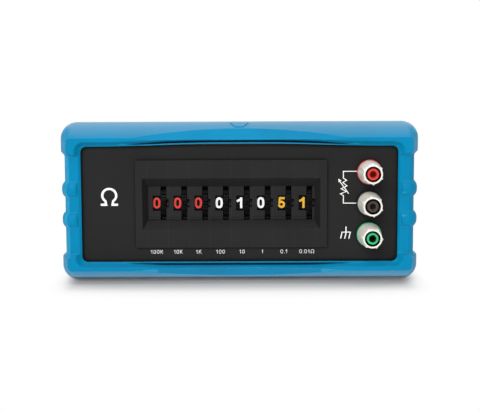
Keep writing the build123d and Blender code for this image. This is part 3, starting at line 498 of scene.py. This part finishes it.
# Places along a quarter of the boot, closer together on the ribs, at the bumpers' edges and at the pad
side_steps = np.concatenate([
    np.arange(0, 15, 0.5), np.arange(15, 27, 1.5), np.arange(27, SIDE_NOMINAL + 0.01, 0.5),
])
top_steps = np.concatenate([np.arange(TOP_NOMINAL, 9, -1.8), np.arange(9, -0.01, -0.9)])


def squeezed(values, knee, nominal, limit):
    """Nominal places along a straight side, pulled in past the knee where a station's side is shorter."""
    end = min(nominal, limit - 0.1)
    return np.where(values <= knee, values, knee + (values - knee) * (end - knee) / (nominal - knee))


def ring_outline(half_width, half_height, corner):
    """A rounded rectangle's points, one per column, as x and h arrays."""
    side_end, top_end = half_height - corner, half_width - corner
    hs = squeezed(side_steps, SIDE_KNEE, SIDE_NOMINAL, side_end)
    xs = squeezed(top_steps, TOP_KNEE, TOP_NOMINAL, top_end)
    gap_h = np.linspace(hs[-1], side_end, SIDE_GAP_STEPS + 2)[1:-1]
    gap_x = np.linspace(top_end, xs[0], TOP_GAP_STEPS + 2)[1:-1]
    angles = np.linspace(0, math.pi / 2, ARC_STEPS + 1)
    arc_x = top_end + corner * np.cos(angles)
    arc_h = side_end + corner * np.sin(angles)
    x = np.concatenate([np.full(len(hs) + SIDE_GAP_STEPS, half_width), arc_x, gap_x, xs])
    h = np.concatenate([hs, gap_h, arc_h, np.full(TOP_GAP_STEPS + len(xs), half_height)])
    back_x, back_h = x[-2::-1], h[-2::-1]
    return (
        np.concatenate([x, -back_x, -x[1:], back_x[:-1]]),
        np.concatenate([h, back_h, -h[1:], -back_h[:-1]]),
    )


outer_x, outer_h = ring_outline(BUMPER_HALF_WIDTH, HALF_HEIGHT, BOOT_CORNER)
COLUMNS = len(outer_x)
TINY = 1e-6
on_side = np.abs(outer_x) > BUMPER_HALF_WIDTH - TINY
on_long = np.abs(outer_h) > HALF_HEIGHT - TINY
on_top = on_long & (outer_h > 0)


def bumper_mask():
    """1 on a corner bumper and 0 on the recessed side member between two of them."""
    top = smoothstep(outer_h, *TOP_BUMPER_EDGE)
    bottom = smoothstep(-outer_h, *BOTTOM_BUMPER_EDGE)
    return np.where(on_side, np.maximum(top, bottom), 1.0)


def boot_stations(crown_lift):
    """The profile's corners from the lip's rear edge to the shoulder, for an end at the front.
    Each is x, h (height from the panel's middle) and y over the columns. The lift raises the top's
    shoulder."""
    away = 1 - bumper_mask()
    bow = np.where(on_top, BOW * (1 - smoothstep(np.abs(outer_x), *BOW_FADE)), 0)
    sign_x, sign_h = np.sign(outer_x), np.sign(outer_h)

    def station(half_width, half_height, corner, y, lift=0.0):
        x, h = ring_outline(half_width, half_height, corner)
        return [x, h + lift * bow, np.full(COLUMNS, y, float)]

    def around_opening(side, top, rounder, y, lift=1.0):
        half_width, half_height, corner = OPENING
        return station(half_width + side, half_height + top, corner + rounder, y, lift)

    cavity = station(*CAVITY, -CAVITY_END)
    lip_rear = around_opening(0, 0, 0, -CAVITY_END)
    lip_inside = around_opening(0, 0, 0, -LIP_CREST)
    lip_outside = around_opening(LIP_WIDTH, LIP_WIDTH, LIP_ROUNDER, -LIP_CREST)
    groove = around_opening(GROOVE_INSET, GROOVE_INSET, GROOVE_ROUNDER, -GROOVE)
    inner = around_opening(RING_INSET_SIDE, RING_INSET_TOP, RING_ROUNDER, -HALF_DEPTH, RING_BOW)
    ring_h = HALF_HEIGHT - CREASE_TOP
    crease = station(BUMPER_HALF_WIDTH - CREASE_SIDE, ring_h, CREASE_CORNER, -HALF_DEPTH)
    shoulder = station(BUMPER_HALF_WIDTH, HALF_HEIGHT, BOOT_CORNER, -SHOULDER)
    shoulder[1] += crown_lift * np.clip((outer_h - CROWN_START) / CROWN_RUN, 0, 1)
    inner[0] -= sign_x * SIDE_RING_PULL * away
    inner[2] += SIDE_RECESS * away
    crease[0] -= sign_x * SIDE_CREASE_PULL * away
    crease[2] += SIDE_RECESS * away
    shoulder[0] -= sign_x * (BUMPER_HALF_WIDTH - HALF_WIDTH) * away
    shoulder[2] -= (SIDE_SHOULDER - SHOULDER) * away
    # The scoop trims the long members: its face leans back as it rises
    depth = np.where(on_long, SCOOP_SETBACK * (1 - (outer_x / SCOOP_CHORD) ** 2), NO_SCOOP)
    scooped = depth > SCOOP_LEAST
    bevel = (HALF_DEPTH - SHOULDER) / (CREASE_TOP + np.where(on_top, crown_lift, 0))
    high = ring_h + np.where(scooped, depth, 0) / (bevel - SCOOP_LEAN)
    high = np.minimum(high, HALF_HEIGHT - SCOOP_LEAST)
    crease_y = -HALF_DEPTH + (high - ring_h) * bevel
    crease[1] = np.where(scooped, sign_h * high, crease[1])
    crease[2] = np.where(scooped, crease_y, crease[2])
    groove_h, inner_h = np.abs(groove[1]), np.abs(inner[1])
    slope = (HALF_DEPTH - GROOVE) / (inner_h - groove_h + 1e-9)
    # where the inner slope meets the scoop's face, and where the face leaves the flat ring
    meet = (HALF_DEPTH - GROOVE + slope * groove_h - depth + SCOOP_LEAN * ring_h) / (slope + SCOOP_LEAN)
    face_at_inner = -HALF_DEPTH + depth + (inner_h - ring_h) * SCOOP_LEAN
    cut_inner = scooped & (face_at_inner > -HALF_DEPTH)
    inner[1] = np.where(cut_inner, sign_h * meet, inner[1])
    inner[2] = np.where(cut_inner, -HALF_DEPTH + depth + (meet - ring_h) * SCOOP_LEAN, inner[2])
    leave = ring_h - depth / SCOOP_LEAN
    # the lip stands out less beside the flat ring, and the groove is deeper under the scoop
    deepen = np.where(scooped, smoothstep(depth, *DEEP_SCOOP), 0)
    flat = 1 - smoothstep(depth, *FLAT_RING)
    groove[2] -= FLAT_GROOVE_RISE * flat
    lip_outside[2] += FLAT_LIP_SINK * flat
    lip_inside[2] += FLAT_CREST_SINK * flat
    groove[2] += DEEP_GROOVE_SINK * deepen
    groove[1] += sign_h * DEEP_GROOVE_WIDER * deepen
    inner[1] += sign_h * DEEP_RING_WIDER * deepen
    foot = [c + (i - c) * FOOT_SHARE for c, i in zip(crease, inner)]
    foot_h = np.clip(leave, np.abs(inner[1]) + FOOT_MARGIN, ring_h - FOOT_MARGIN)
    foot_y = np.maximum(-HALF_DEPTH + depth + (foot_h - ring_h) * SCOOP_LEAN, -HALF_DEPTH)
    foot[1] = np.where(scooped, sign_h * foot_h, foot[1])
    foot[2] = np.where(scooped, foot_y, foot[2])
    stations = (cavity, lip_rear, lip_inside, lip_outside, groove, inner, foot, crease, shoulder)
    return [np.array(s).T for s in stations]


# Where the outside of the profile starts, and each corner's trim in mm, steps round it and steps to the
# next corner, in the order of the stations
INNER_STATION = 5
ROUNDING = (
    (0.3, 1, 1), (0.1, 1, 1), (0.35, 3, 1), (0.35, 3, 1), (0.3, 3, 3), (0.4, 4, 2), (0.6, 3, 8), (0.45, 4, 8),
    (6.0, 8, 24),
)
LONGEST_TRIM = 0.45


def rounded_profile(corners, trims, arcs, spans):
    """Rounds each corner of every column's closed profile and divides the runs between them. The marks say
    which corner each row is at."""
    count = len(corners)
    rows, marks, ends = [], [], []
    for k in range(count):
        here, before, after = corners[k], corners[k - 1], corners[(k + 1) % count]
        near = np.linalg.norm(before - here, axis=1, keepdims=True)
        far = np.linalg.norm(after - here, axis=1, keepdims=True)
        a = here + (before - here) * np.minimum(trims[k] / near, LONGEST_TRIM)
        b = here + (after - here) * np.minimum(trims[k] / far, LONGEST_TRIM)
        ends.append((a, here, b))
    for k in range(count):
        a, here, b = ends[k]
        for t in np.linspace(0, 1, arcs[k] + 1):
            rows.append((1 - t) ** 2 * a + 2 * t * (1 - t) * here + t * t * b)
            marks.append(k)
        following = ends[(k + 1) % count][0]
        for t in np.linspace(0, 1, spans[k] + 1)[1:-1]:
            rows.append(b + (following - b) * t)
            marks.append(k + 0.5)
    return np.array(rows), np.array(marks)


def make_boot():
    """The boot's one closed skin: a profile for each column, rounded at its corners."""
    front = boot_stations(CROWN_LIFT)
    rear = [s * np.array([1, 1, -1]) for s in boot_stations(REAR_LIFT)][::-1]
    trims, arcs, spans = (list(column) for column in zip(*ROUNDING))
    corners = front + rear
    grid, marks = rounded_profile(
        corners, trims + trims[::-1], arcs + arcs[::-1], spans + spans[:-1][::-1] + [1]
    )
    # grip ribs: pushed out across the profile's own direction
    tangent = np.roll(grid, -1, axis=0) - np.roll(grid, 1, axis=0)
    side = np.sign(outer_x)[None, :]
    normal_x, normal_y = tangent[:, :, 2], -tangent[:, :, 0]
    length = np.hypot(normal_x, normal_y) + 1e-12
    normal_x, normal_y = normal_x / length, normal_y / length
    outside = (marks >= INNER_STATION) & (marks <= len(corners) - 1 - INNER_STATION)
    away = np.minimum(np.abs(outer_h - NUB_CENTRE), np.abs(outer_h + NUB_CENTRE)) / NUB_HALF
    swell = np.clip(1 - away**NUB_SQUARENESS, 0, 1) ** NUB_FULLNESS
    lift = NUB_PROUD * np.where(on_side, swell, 0)
    fade = smoothstep(np.abs(grid[:, :, 0]), *NUB_FADE) * outside[:, None]
    grid[:, :, 0] += side * np.abs(normal_x) * lift * fade
    grid[:, :, 2] += np.sign(grid[:, :, 2]) * np.abs(normal_y) * lift * fade
    verts = np.stack([grid[:, :, 0], grid[:, :, 2], grid[:, :, 1] + MID], axis=2).reshape(-1, 3)
    faces = band_faces(len(grid), COLUMNS, flipped=True)
    boot = add_mesh("boot_rubber", verts, faces, rubber_blue, "box", "blue_rubber")
    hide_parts("boot")


def make_pad():
    """The low raised pad on the top's front slope, a soft-edged trapezoid."""
    run, rise = HALF_DEPTH - SHOULDER, CREASE_TOP + CROWN_LIFT
    along = math.hypot(run, rise)
    back, up = run / along, rise / along
    length = PAD_END - PAD_START
    across, deep = 28, 14
    verts = []
    for i in range(deep + 1):
        v = i / deep
        for j in range(across + 1):
            u = 2 * j / across - 1
            half = PAD_HALF_LOW + PAD_HALF_GAIN * v
            edge = min((1 - abs(u)) * half, v * length, (1 - v) * length)
            height = -PAD_SUNK + math.sin(min(1.0, edge / PAD_EDGE) * math.pi / 2)
            t = PAD_START + length * v
            verts.append((
                u * half,
                -HALF_DEPTH + back * t - up * height,
                MID + HALF_HEIGHT - CREASE_TOP + up * t + back * height,
            ))
    row = across + 1
    faces = [(i * row + j, i * row + j + 1, (i + 1) * row + j + 1, (i + 1) * row + j)
             for i in range(deep) for j in range(across)]
    add_mesh("boot_pad", verts, faces, rubber_blue, "box", "blue_rubber")


make_boot()
make_pad()


# ---- lettering and symbols ----
def arc(u, v, ru, rv, start, stop, steps=14):
    """Points on part of an ellipse, by angles in degrees from the right."""
    angles = np.radians(np.linspace(start, stop, steps + 1))
    return [(u + ru * math.cos(a), v + rv * math.sin(a)) for a in angles]


def loop(u, v, ru, rv, power=0.86, steps=28):
    """A closed, slightly squared ellipse."""
    points = []
    for a in np.linspace(0, 2 * math.pi, steps, endpoint=False):
        c, s = math.cos(a), math.sin(a)
        points.append((
            u + ru * math.copysign(abs(c) ** power, c),
            v + rv * math.copysign(abs(s) ** power, s),
        ))
    return points


SIX_STEM = arc(0.35, -0.35, 1.35, 1.35, 178, 68)
# Centre lines of the characters in a square from -1 to 1, open lines first and closed ones second
STROKES = {
    "0": ([], [loop(0, 0, 1, 1, 0.8)]),
    "1": ([[(0.45, -1), (0.45, 1)], [(0.45, 0.86), (-0.85, 0.42)]], []),
    "2": ([arc(0, 0.42, 0.97, 0.58, 172, -28) + [(-0.93, -1), (0.98, -1)]], []),
    "3": ([arc(-0.02, 0.49, 0.92, 0.51, 158, -78), arc(-0.02, -0.47, 1, 0.53, 78, -160)], []),
    "4": ([[(0.42, -1), (0.42, 0.9), (-0.95, -0.42), (0.95, -0.42)]], []),
    "5": ([[(0.82, 1), (-0.7, 1), (-0.84, 0.0)], arc(-0.02, -0.41, 1, 0.59, 142, -158)], []),
    "6": ([SIX_STEM], [loop(0, -0.4, 1, 0.6)]),
    "7": ([[(-0.95, 1), (0.92, 1), (-0.32, -1)]], []),
    "8": ([], [loop(0, 0.5, 0.86, 0.5), loop(0, -0.46, 1, 0.54)]),
    "9": ([[(-u, -v) for u, v in SIX_STEM]], [loop(0, 0.4, 1, 0.6)]),
    "K": ([[(-0.9, -1), (-0.9, 1)], [(0.9, 1), (-0.85, -0.12)], [(-0.3, 0.22), (0.95, -1)]], []),
    "\u03a9": ([[(-1, -1), (-0.42, -1), *arc(0, 0.16, 0.93, 0.84, 236, -56, 26), (0.42, -1), (1, -1)]], []),
    ".": ([[(0, -1), (0, -0.99)]], []),
}
WIDTHS = {"1": 0.5, "K": 0.7, "\u03a9": 0.95, ".": 0.16}


def line_solid(points, width, bottom, top, closed=False):
    """A flat line with mitred corners as a solid, in (right, up, out) points."""
    path = [np.array(p, float) for p in points]
    if not closed:
        first, last = path[0] - path[1], path[-1] - path[-2]
        path[0] = path[0] + first / np.linalg.norm(first) * width / 2
        path[-1] = path[-1] + last / np.linalg.norm(last) * width / 2
    count = len(path)
    rails = []
    for i, here in enumerate(path):
        into = here - path[i - 1] if i or closed else path[1] - path[0]
        onward = path[(i + 1) % count] - here if i + 1 < count or closed else path[-1] - path[-2]
        into, onward = into / np.linalg.norm(into), onward / np.linalg.norm(onward)
        tangent = into + onward
        tangent /= np.linalg.norm(tangent)
        side = np.array([-tangent[1], tangent[0]])
        reach = width / 2 / max(0.5, abs(side @ np.array([-into[1], into[0]])))
        rails.append((here + side * reach, here - side * reach))
    verts, faces = [], []
    for a, b in rails:
        verts += [(a[0], a[1], top), (a[0], a[1], bottom), (b[0], b[1], top), (b[0], b[1], bottom)]
    for i in range(count if closed else count - 1):
        p, q = 4 * i, 4 * ((i + 1) % count)
        faces += [(p, p + 2, q + 2, q), (p + 1, q + 1, q + 3, p + 3), (p, q, q + 1, p + 1),
                  (p + 2, p + 3, q + 3, q + 2)]
    if not closed:
        last = 4 * (count - 1)
        faces += [(0, 1, 3, 2), (last, last + 2, last + 3, last + 1)]
    return verts, faces


def lettering(text, height, weight, aspect, bottom, top, gap=0.2):
    """A word as solids, centred, in (right, up, out) points. The aspect is a digit's width to its height."""
    widths = [height * (WIDTHS[c] if c in WIDTHS and len(text) > 1 else aspect) for c in text]
    across = sum(widths) + gap * height * (len(text) - 1)
    left = -across / 2
    solids = []
    for character, width in zip(text, widths):
        half_u, half_v = (width - weight) / 2, (height - weight) / 2
        centre = left + width / 2
        left += width + gap * height
        open_lines, closed_lines = STROKES[character]
        lines = [(line, False) for line in open_lines] + [(line, True) for line in closed_lines]
        # crossing strokes end at slightly different heights, so that no two faces coincide
        for drawn, (line, closed) in enumerate(lines):
            points = [(centre + u * half_u, v * half_v) for u, v in line]
            solids.append(line_solid(points, weight, bottom, top + OVERLAP_LIFT * drawn, closed))
    return merged(solids)


def placed(points, origin, right, up, out):
    """Points (right, up, out) set at an origin on a face."""
    return np.array(origin) + np.asarray(points) @ np.array([right, up, out])


# Edges sharper than this many degrees stay sharp
PRINT_SHARP = 30
INKS = (ink_red, ink_red, ink_red, ink_white, ink_white, ink_white, ink_yellow, ink_yellow)
for k, (shown, ink) in enumerate(zip(READING, INKS)):
    digits = []
    for step in range(DRUM_FLATS):
        turn = math.radians(360 / DRUM_FLATS * step)
        out = (0, -math.cos(turn), math.sin(turn))
        up = (0, math.sin(turn), math.cos(turn))
        points, polygons = lettering(
            str((shown + step) % DRUM_FLATS), DIGIT_HEIGHT, DIGIT_WEIGHT, DIGIT_ASPECT, INK_SUNK, DIGIT_PROUD
        )
        axle = np.array([BANK_LEFT + k * PITCH + DIGIT_X, AXLE_Y, MID])
        digits.append((placed(points, axle + np.array(out) * DRUM_APOTHEM, (1, 0, 0), up, out), polygons))
    add_mesh(f"digits_{k + 1}", *merged(digits), ink, f"wheel_{k + 1}", "wheel_black", PRINT_SHARP)


def print_on_panel(name, solids, x=0.0, z=0.0):
    """A white print on the panel's face, from its middle."""
    points, faces = merged(solids)
    verts = placed(points, (x, PANEL_FACE, MID + z), (1, 0, 0), (0, 0, 1), (0, -1, 0))
    add_mesh(name, verts, faces, ink_white, "box", "panel_black", PRINT_SHARP)


for number, (x, text) in enumerate(zip(LABEL_X, LABELS), 1):
    aspect = LONE_ONE_ASPECT if text == "1" else LABEL_ASPECT
    word = lettering(text, LABEL_HEIGHT, LABEL_WEIGHT, aspect, INK_SUNK, INK_PROUD, LABEL_GAP)
    print_on_panel(f"decade_label_{number}", [word], x, LABEL_Z)
ohm = lettering("\u03a9", OHM_HEIGHT, OHM_WEIGHT, OHM_ASPECT, INK_SUNK, INK_PROUD)
print_on_panel("ohm_mark", [ohm], *OHM_PLACE)

# The signs are drawn in (right, up) points from the panel's middle
resistor = [(71.0, 19.4), (62.8, 19.4), (62.8, 15.4), (64.8, 14.0), (62.5, 12.7), (65.0, 10.6), (61.4, 8.9),
            (64.6, 7.2), (61.1, 5.8), (62.9, 4.6), (62.9, 0.1), (70.4, 0.1)]


def flat_triangle(corners, bottom, top):
    """An arrowhead as a solid, in (right, up, out) points."""
    verts = [(u, v, w) for w in (top, bottom) for u, v in corners]
    return verts, [(0, 1, 2), (5, 4, 3), (0, 3, 4, 1), (1, 4, 5, 2), (2, 5, 3, 0)]


print_on_panel("resistor_symbol", [
    line_solid(resistor, SYMBOL_LINE, INK_SUNK, INK_PROUD),
    line_solid([(65.9, 6.1), (60.9, 13.1)], SYMBOL_LINE, INK_SUNK, OVER_INK),
    flat_triangle([(60.0, 12.7), (61.7, 13.8), (59.7, 15.0)], INK_SUNK, TOP_INK),
])
print_on_panel("earth_symbol", [
    line_solid([(64.6, -14.6), (64.6, -17.6)], EARTH_STEM, INK_SUNK, INK_PROUD),
    line_solid([(62.1, -17.6), (67.3, -17.6)], SYMBOL_LINE, INK_SUNK, OVER_INK),
    *(line_solid([(u, -17.9), (u - EARTH_LEAN, -21.3)], EARTH_TOOTH, INK_SUNK, INK_PROUD)
      for u in EARTH_TEETH),
])


# ---- screw caps ----
# Colour, the cap's turn in degrees at rest, height from the middle, and the sleeves' materials: painted shade
# for the cap's recess and a painted glow for the socket
POSTS = (
    ("red", 4.0, POST_PITCH, painted_shade_red, bore_red),
    ("black", 9.0, 0.0, painted_shade_black, bore_black),
    ("green", 25.0, -POST_PITCH, painted_shade_green, bore_green),
)
CAP_COLUMNS = 180
CAP_SHARP = 50
SLEEVE_COLUMNS = 48
SLEEVE_SHARP = 40
# Distance forward of the panel, radius and share of the rib's rise
CAP_PROFILE = (
    (9.2, 4.65, 0), (19.85, 4.65, 0), (19.96, 4.72, 0), (20.0, 4.85, 0), (20.0, 5.3, 0), (19.9, 5.52, 0),
    (19.72, 5.66, 0.0), (19.5, 5.72, 0.25), (19.0, 5.77, 0.8), (18.4, 5.82, 1.0), (16.0, 6.03, 0.85),
    (13.0, 6.29, 0.6), (10.0, 6.55, 0.35), (7.0, 6.81, 0.12), (5.2, 6.97, 0), (3.3, 7.13, 0), (2.5, 7.18, 0),
    (2.25, 7.15, 0), (2.1, 7.0, 0), (2.1, 5.6, 0), (3.2, 5.6, 0), (3.2, 4.4, 0), (9.2, 4.4, 0),
)
# Thin sleeves of painted light, a dark one for painted shade in the cap's recess and one for a painted glow
# in the socket: distance forward of the panel and radius
RECESS_SHADE_SLEEVE = ((9.22, 3.1), (9.3, 3.1), (9.3, 4.58), (19.7, 4.58), (19.7, 4.64), (9.22, 4.64))
SOCKET_GLOW_SLEEVE = (
    (6.02, 0.05), (6.1, 0.05), (6.1, 1.94), (19.06, 1.94), (19.06, 2.28), (19.01, 2.28), (19.01, 1.98),
    (6.02, 1.98),
)


def turned_row(forward, radius, angles, height):
    """Points round a post's axis, at a distance forward of the panel."""
    x = POST_X + radius * np.sin(angles)
    z = MID + height + radius * np.cos(angles)
    return list(zip(x, np.full(len(angles), PANEL_FACE - forward), z))


def make_painted_sleeve(name, profile, mat, body, slot, height):
    """A thin turned sleeve on a post's axis, to carry painted shade in a cap's recess and a painted glow in a
    socket.
    """
    angles = np.linspace(0, 2 * math.pi, SLEEVE_COLUMNS, endpoint=False)
    verts = [p for forward, radius in profile for p in turned_row(forward, radius, angles, height)]
    add_mesh(name, verts, band_faces(len(profile), SLEEVE_COLUMNS), mat, body, slot, SLEEVE_SHARP)


def make_cap(colour, turn, height):
    """A screw cap: a cone with six ridges that stand out more towards its front."""
    degrees = np.arange(CAP_COLUMNS) * 360 / CAP_COLUMNS
    angles = np.radians(degrees - turn)
    from_ridge = np.abs(np.radians((degrees + RIB_SPACING / 2) % RIB_SPACING - RIB_SPACING / 2))
    verts = []
    for forward, radius, share in CAP_PROFILE:
        ridge = np.clip(1 - from_ridge * radius / RIB_HALF, 0, 1)
        r = radius + share * RIB_RISE * (1 - (1 - ridge) ** RIB_CURVE)
        verts += turned_row(forward, r, angles, height)
    faces = band_faces(len(CAP_PROFILE), CAP_COLUMNS)
    cap = add_mesh(f"{colour}_cap_ridged", verts, faces, cap_white, f"{colour}_cap", "cap_white", CAP_SHARP)
    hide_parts(f"{colour}_terminal_cap")


for colour, turn, height, deep, dark in POSTS:
    make_cap(colour, turn, height)
    slot = f"terminal_{colour}"
    # Sleeves that paint shade in the cap's recess and a glow in the socket
    make_painted_sleeve(f"{colour}_cap_shade_sleeve", RECESS_SHADE_SLEEVE, deep, f"{colour}_cap", slot, height)
    make_painted_sleeve(f"{colour}_socket_glow_sleeve", SOCKET_GLOW_SLEEVE, dark, "box", slot, height)


# ---- stage, light and camera ----
# In metres
FLOOR_HALF = 3.0
FOOTPRINT = (0.098, 0.062, 1.0)
SHADOW_REACH = (0.004, 0.056)
PAINTED_SHADOW_REACH = 0.03


def make_floor():
    """A white floor that keeps a soft grey shadow near the box, deepened there by a painted shadow in its
    colour.
    """
    mesh = bpy.data.meshes.new("floor")
    mesh.from_pydata([(x, y, 0.0) for y in (-FLOOR_HALF, FLOOR_HALF) for x in (-FLOOR_HALF, FLOOR_HALF)],
                     [], [(0, 1, 3, 2)])
    floor = bpy.data.objects.new("floor", mesh)
    bpy.context.scene.collection.objects.link(floor)
    s = Shader("floor")
    s.set(Base_Color=(0.93, 0.93, 0.93, 1), Roughness=0.8, Specular_IOR_Level=0.1)
    tree = s.tree
    # distance from the box's footprint, which counts three times as much to the sides
    source = s.coords
    for operation, vector in (
        ("ABSOLUTE", None), ("SUBTRACT", FOOTPRINT), ("MAXIMUM", (0, 0, 0)), ("MULTIPLY", (3, 1, 1)),
        ("LENGTH", None),
    ):
        node = tree.nodes.new("ShaderNodeVectorMath")
        node.operation = operation
        s.link(source, node.inputs[0])
        if vector is not None:
            node.inputs[1].default_value = vector
        source = node.outputs["Value" if operation == "LENGTH" else "Vector"]
    far = s.remap(source, *SHADOW_REACH, 0.06, 1.0)
    far.node.interpolation_type = "SMOOTHSTEP"
    # Painted shadow: the floor's colour is darker close to the box
    near = s.remap(source, 0.0, PAINTED_SHADOW_REACH, 0.0, 1.0)
    s.colour(s.mix(near, (0.55, 0.55, 0.55, 1), (0.9, 0.9, 0.9, 1)))
    path = tree.nodes.new("ShaderNodeLightPath")
    seen = path.outputs["Is Camera Ray"]
    glow = tree.nodes.new("ShaderNodeEmission")
    glow.inputs["Color"].default_value = (1, 1, 1, 1)
    glow.inputs["Strength"].default_value = 1.0
    blend = tree.nodes.new("ShaderNodeMixShader")
    s.link(s.math("MAXIMUM", far, s.math("SUBTRACT", 1.0, seen)), blend.inputs["Fac"])
    s.link(s.bsdf.outputs["BSDF"], blend.inputs[1])
    s.link(glow.outputs["Emission"], blend.inputs[2])
    s.link(blend.outputs["Shader"], tree.nodes["Material Output"].inputs["Surface"])
    mesh.materials.append(s.mat)


def make_world():
    """White behind the box for the camera, and dimmer in front of it for the light."""
    world = bpy.data.worlds.new("studio")
    bpy.context.scene.world = world
    world.use_nodes = True
    tree = world.node_tree
    back = tree.nodes["Background"]
    back.inputs["Color"].default_value = (1, 1, 1, 1)
    path = tree.nodes.new("ShaderNodeLightPath")
    direction = tree.nodes.new("ShaderNodeTexCoord")
    split = tree.nodes.new("ShaderNodeSeparateXYZ")
    tree.links.new(direction.outputs["Generated"], split.inputs[0])
    behind = tree.nodes.new("ShaderNodeMapRange")
    for key, value in (("From Min", -0.3), ("From Max", 0.5), ("To Min", 0.2), ("To Max", 0.95)):
        behind.inputs[key].default_value = value
    tree.links.new(split.outputs["Y"], behind.inputs["Value"])
    strength = tree.nodes.new("ShaderNodeMath")
    strength.operation = "MAXIMUM"
    tree.links.new(behind.outputs["Result"], strength.inputs[0])
    tree.links.new(path.outputs["Is Camera Ray"], strength.inputs[1])
    tree.links.new(strength.outputs[0], back.inputs["Strength"])


def add_area(name, place, aim, width, height, power):
    """A soft rectangular lamp, in metres and watts."""
    light = bpy.data.lights.new(name, "AREA")
    light.shape = "RECTANGLE"
    light.size, light.size_y = width, height
    light.energy = power
    obj = bpy.data.objects.new(name, light)
    obj.location = place
    obj.rotation_mode = "QUATERNION"
    obj.rotation_quaternion = (Vector(aim) - Vector(place)).to_track_quat("-Z", "Y")
    bpy.context.scene.collection.objects.link(obj)


# In degrees, mm and metres
CAMERA_YAW, CAMERA_PITCH, CAMERA_ROLL = 0.0581, 6.3194, -0.2304
CAMERA_LENS = 81.376
CAMERA_PLACE = (0.000933, -0.712163, 0.119494)


def make_camera():
    """The camera that the photograph's measured points give."""
    yaw, pitch, roll = (math.radians(angle) for angle in (CAMERA_YAW, CAMERA_PITCH, CAMERA_ROLL))
    forward = Vector((-math.sin(yaw) * math.cos(pitch), math.cos(yaw) * math.cos(pitch), -math.sin(pitch)))
    right = forward.cross(Vector((0, 0, 1))).normalized()
    up = right.cross(forward)
    x_axis = math.cos(roll) * right + math.sin(roll) * up
    y_axis = -math.sin(roll) * right + math.cos(roll) * up
    data = bpy.data.cameras.new("camera")
    data.sensor_fit = "HORIZONTAL"
    data.sensor_width = 36.0
    data.lens = CAMERA_LENS
    data.clip_start, data.clip_end = 0.01, 20.0
    camera = bpy.data.objects.new("camera", data)
    rows = [(*axes, place) for *axes, place in zip(x_axis, y_axis, -forward, CAMERA_PLACE)]
    camera.matrix_world = Matrix((*rows, (0, 0, 0, 1)))
    bpy.context.scene.collection.objects.link(camera)
    bpy.context.scene.camera = camera


make_floor()
make_world()
add_area("top_light", (0.0, -0.15, 1.1), (0, 0, 0), 1.2, 1.0, 5.8)
add_area("front_light", (-0.35, -1.3, 0.75), (0, 0, 0.05), 1.0, 0.7, 14.5)
make_camera()
bpy.context.scene.view_settings.view_transform = "Standard"
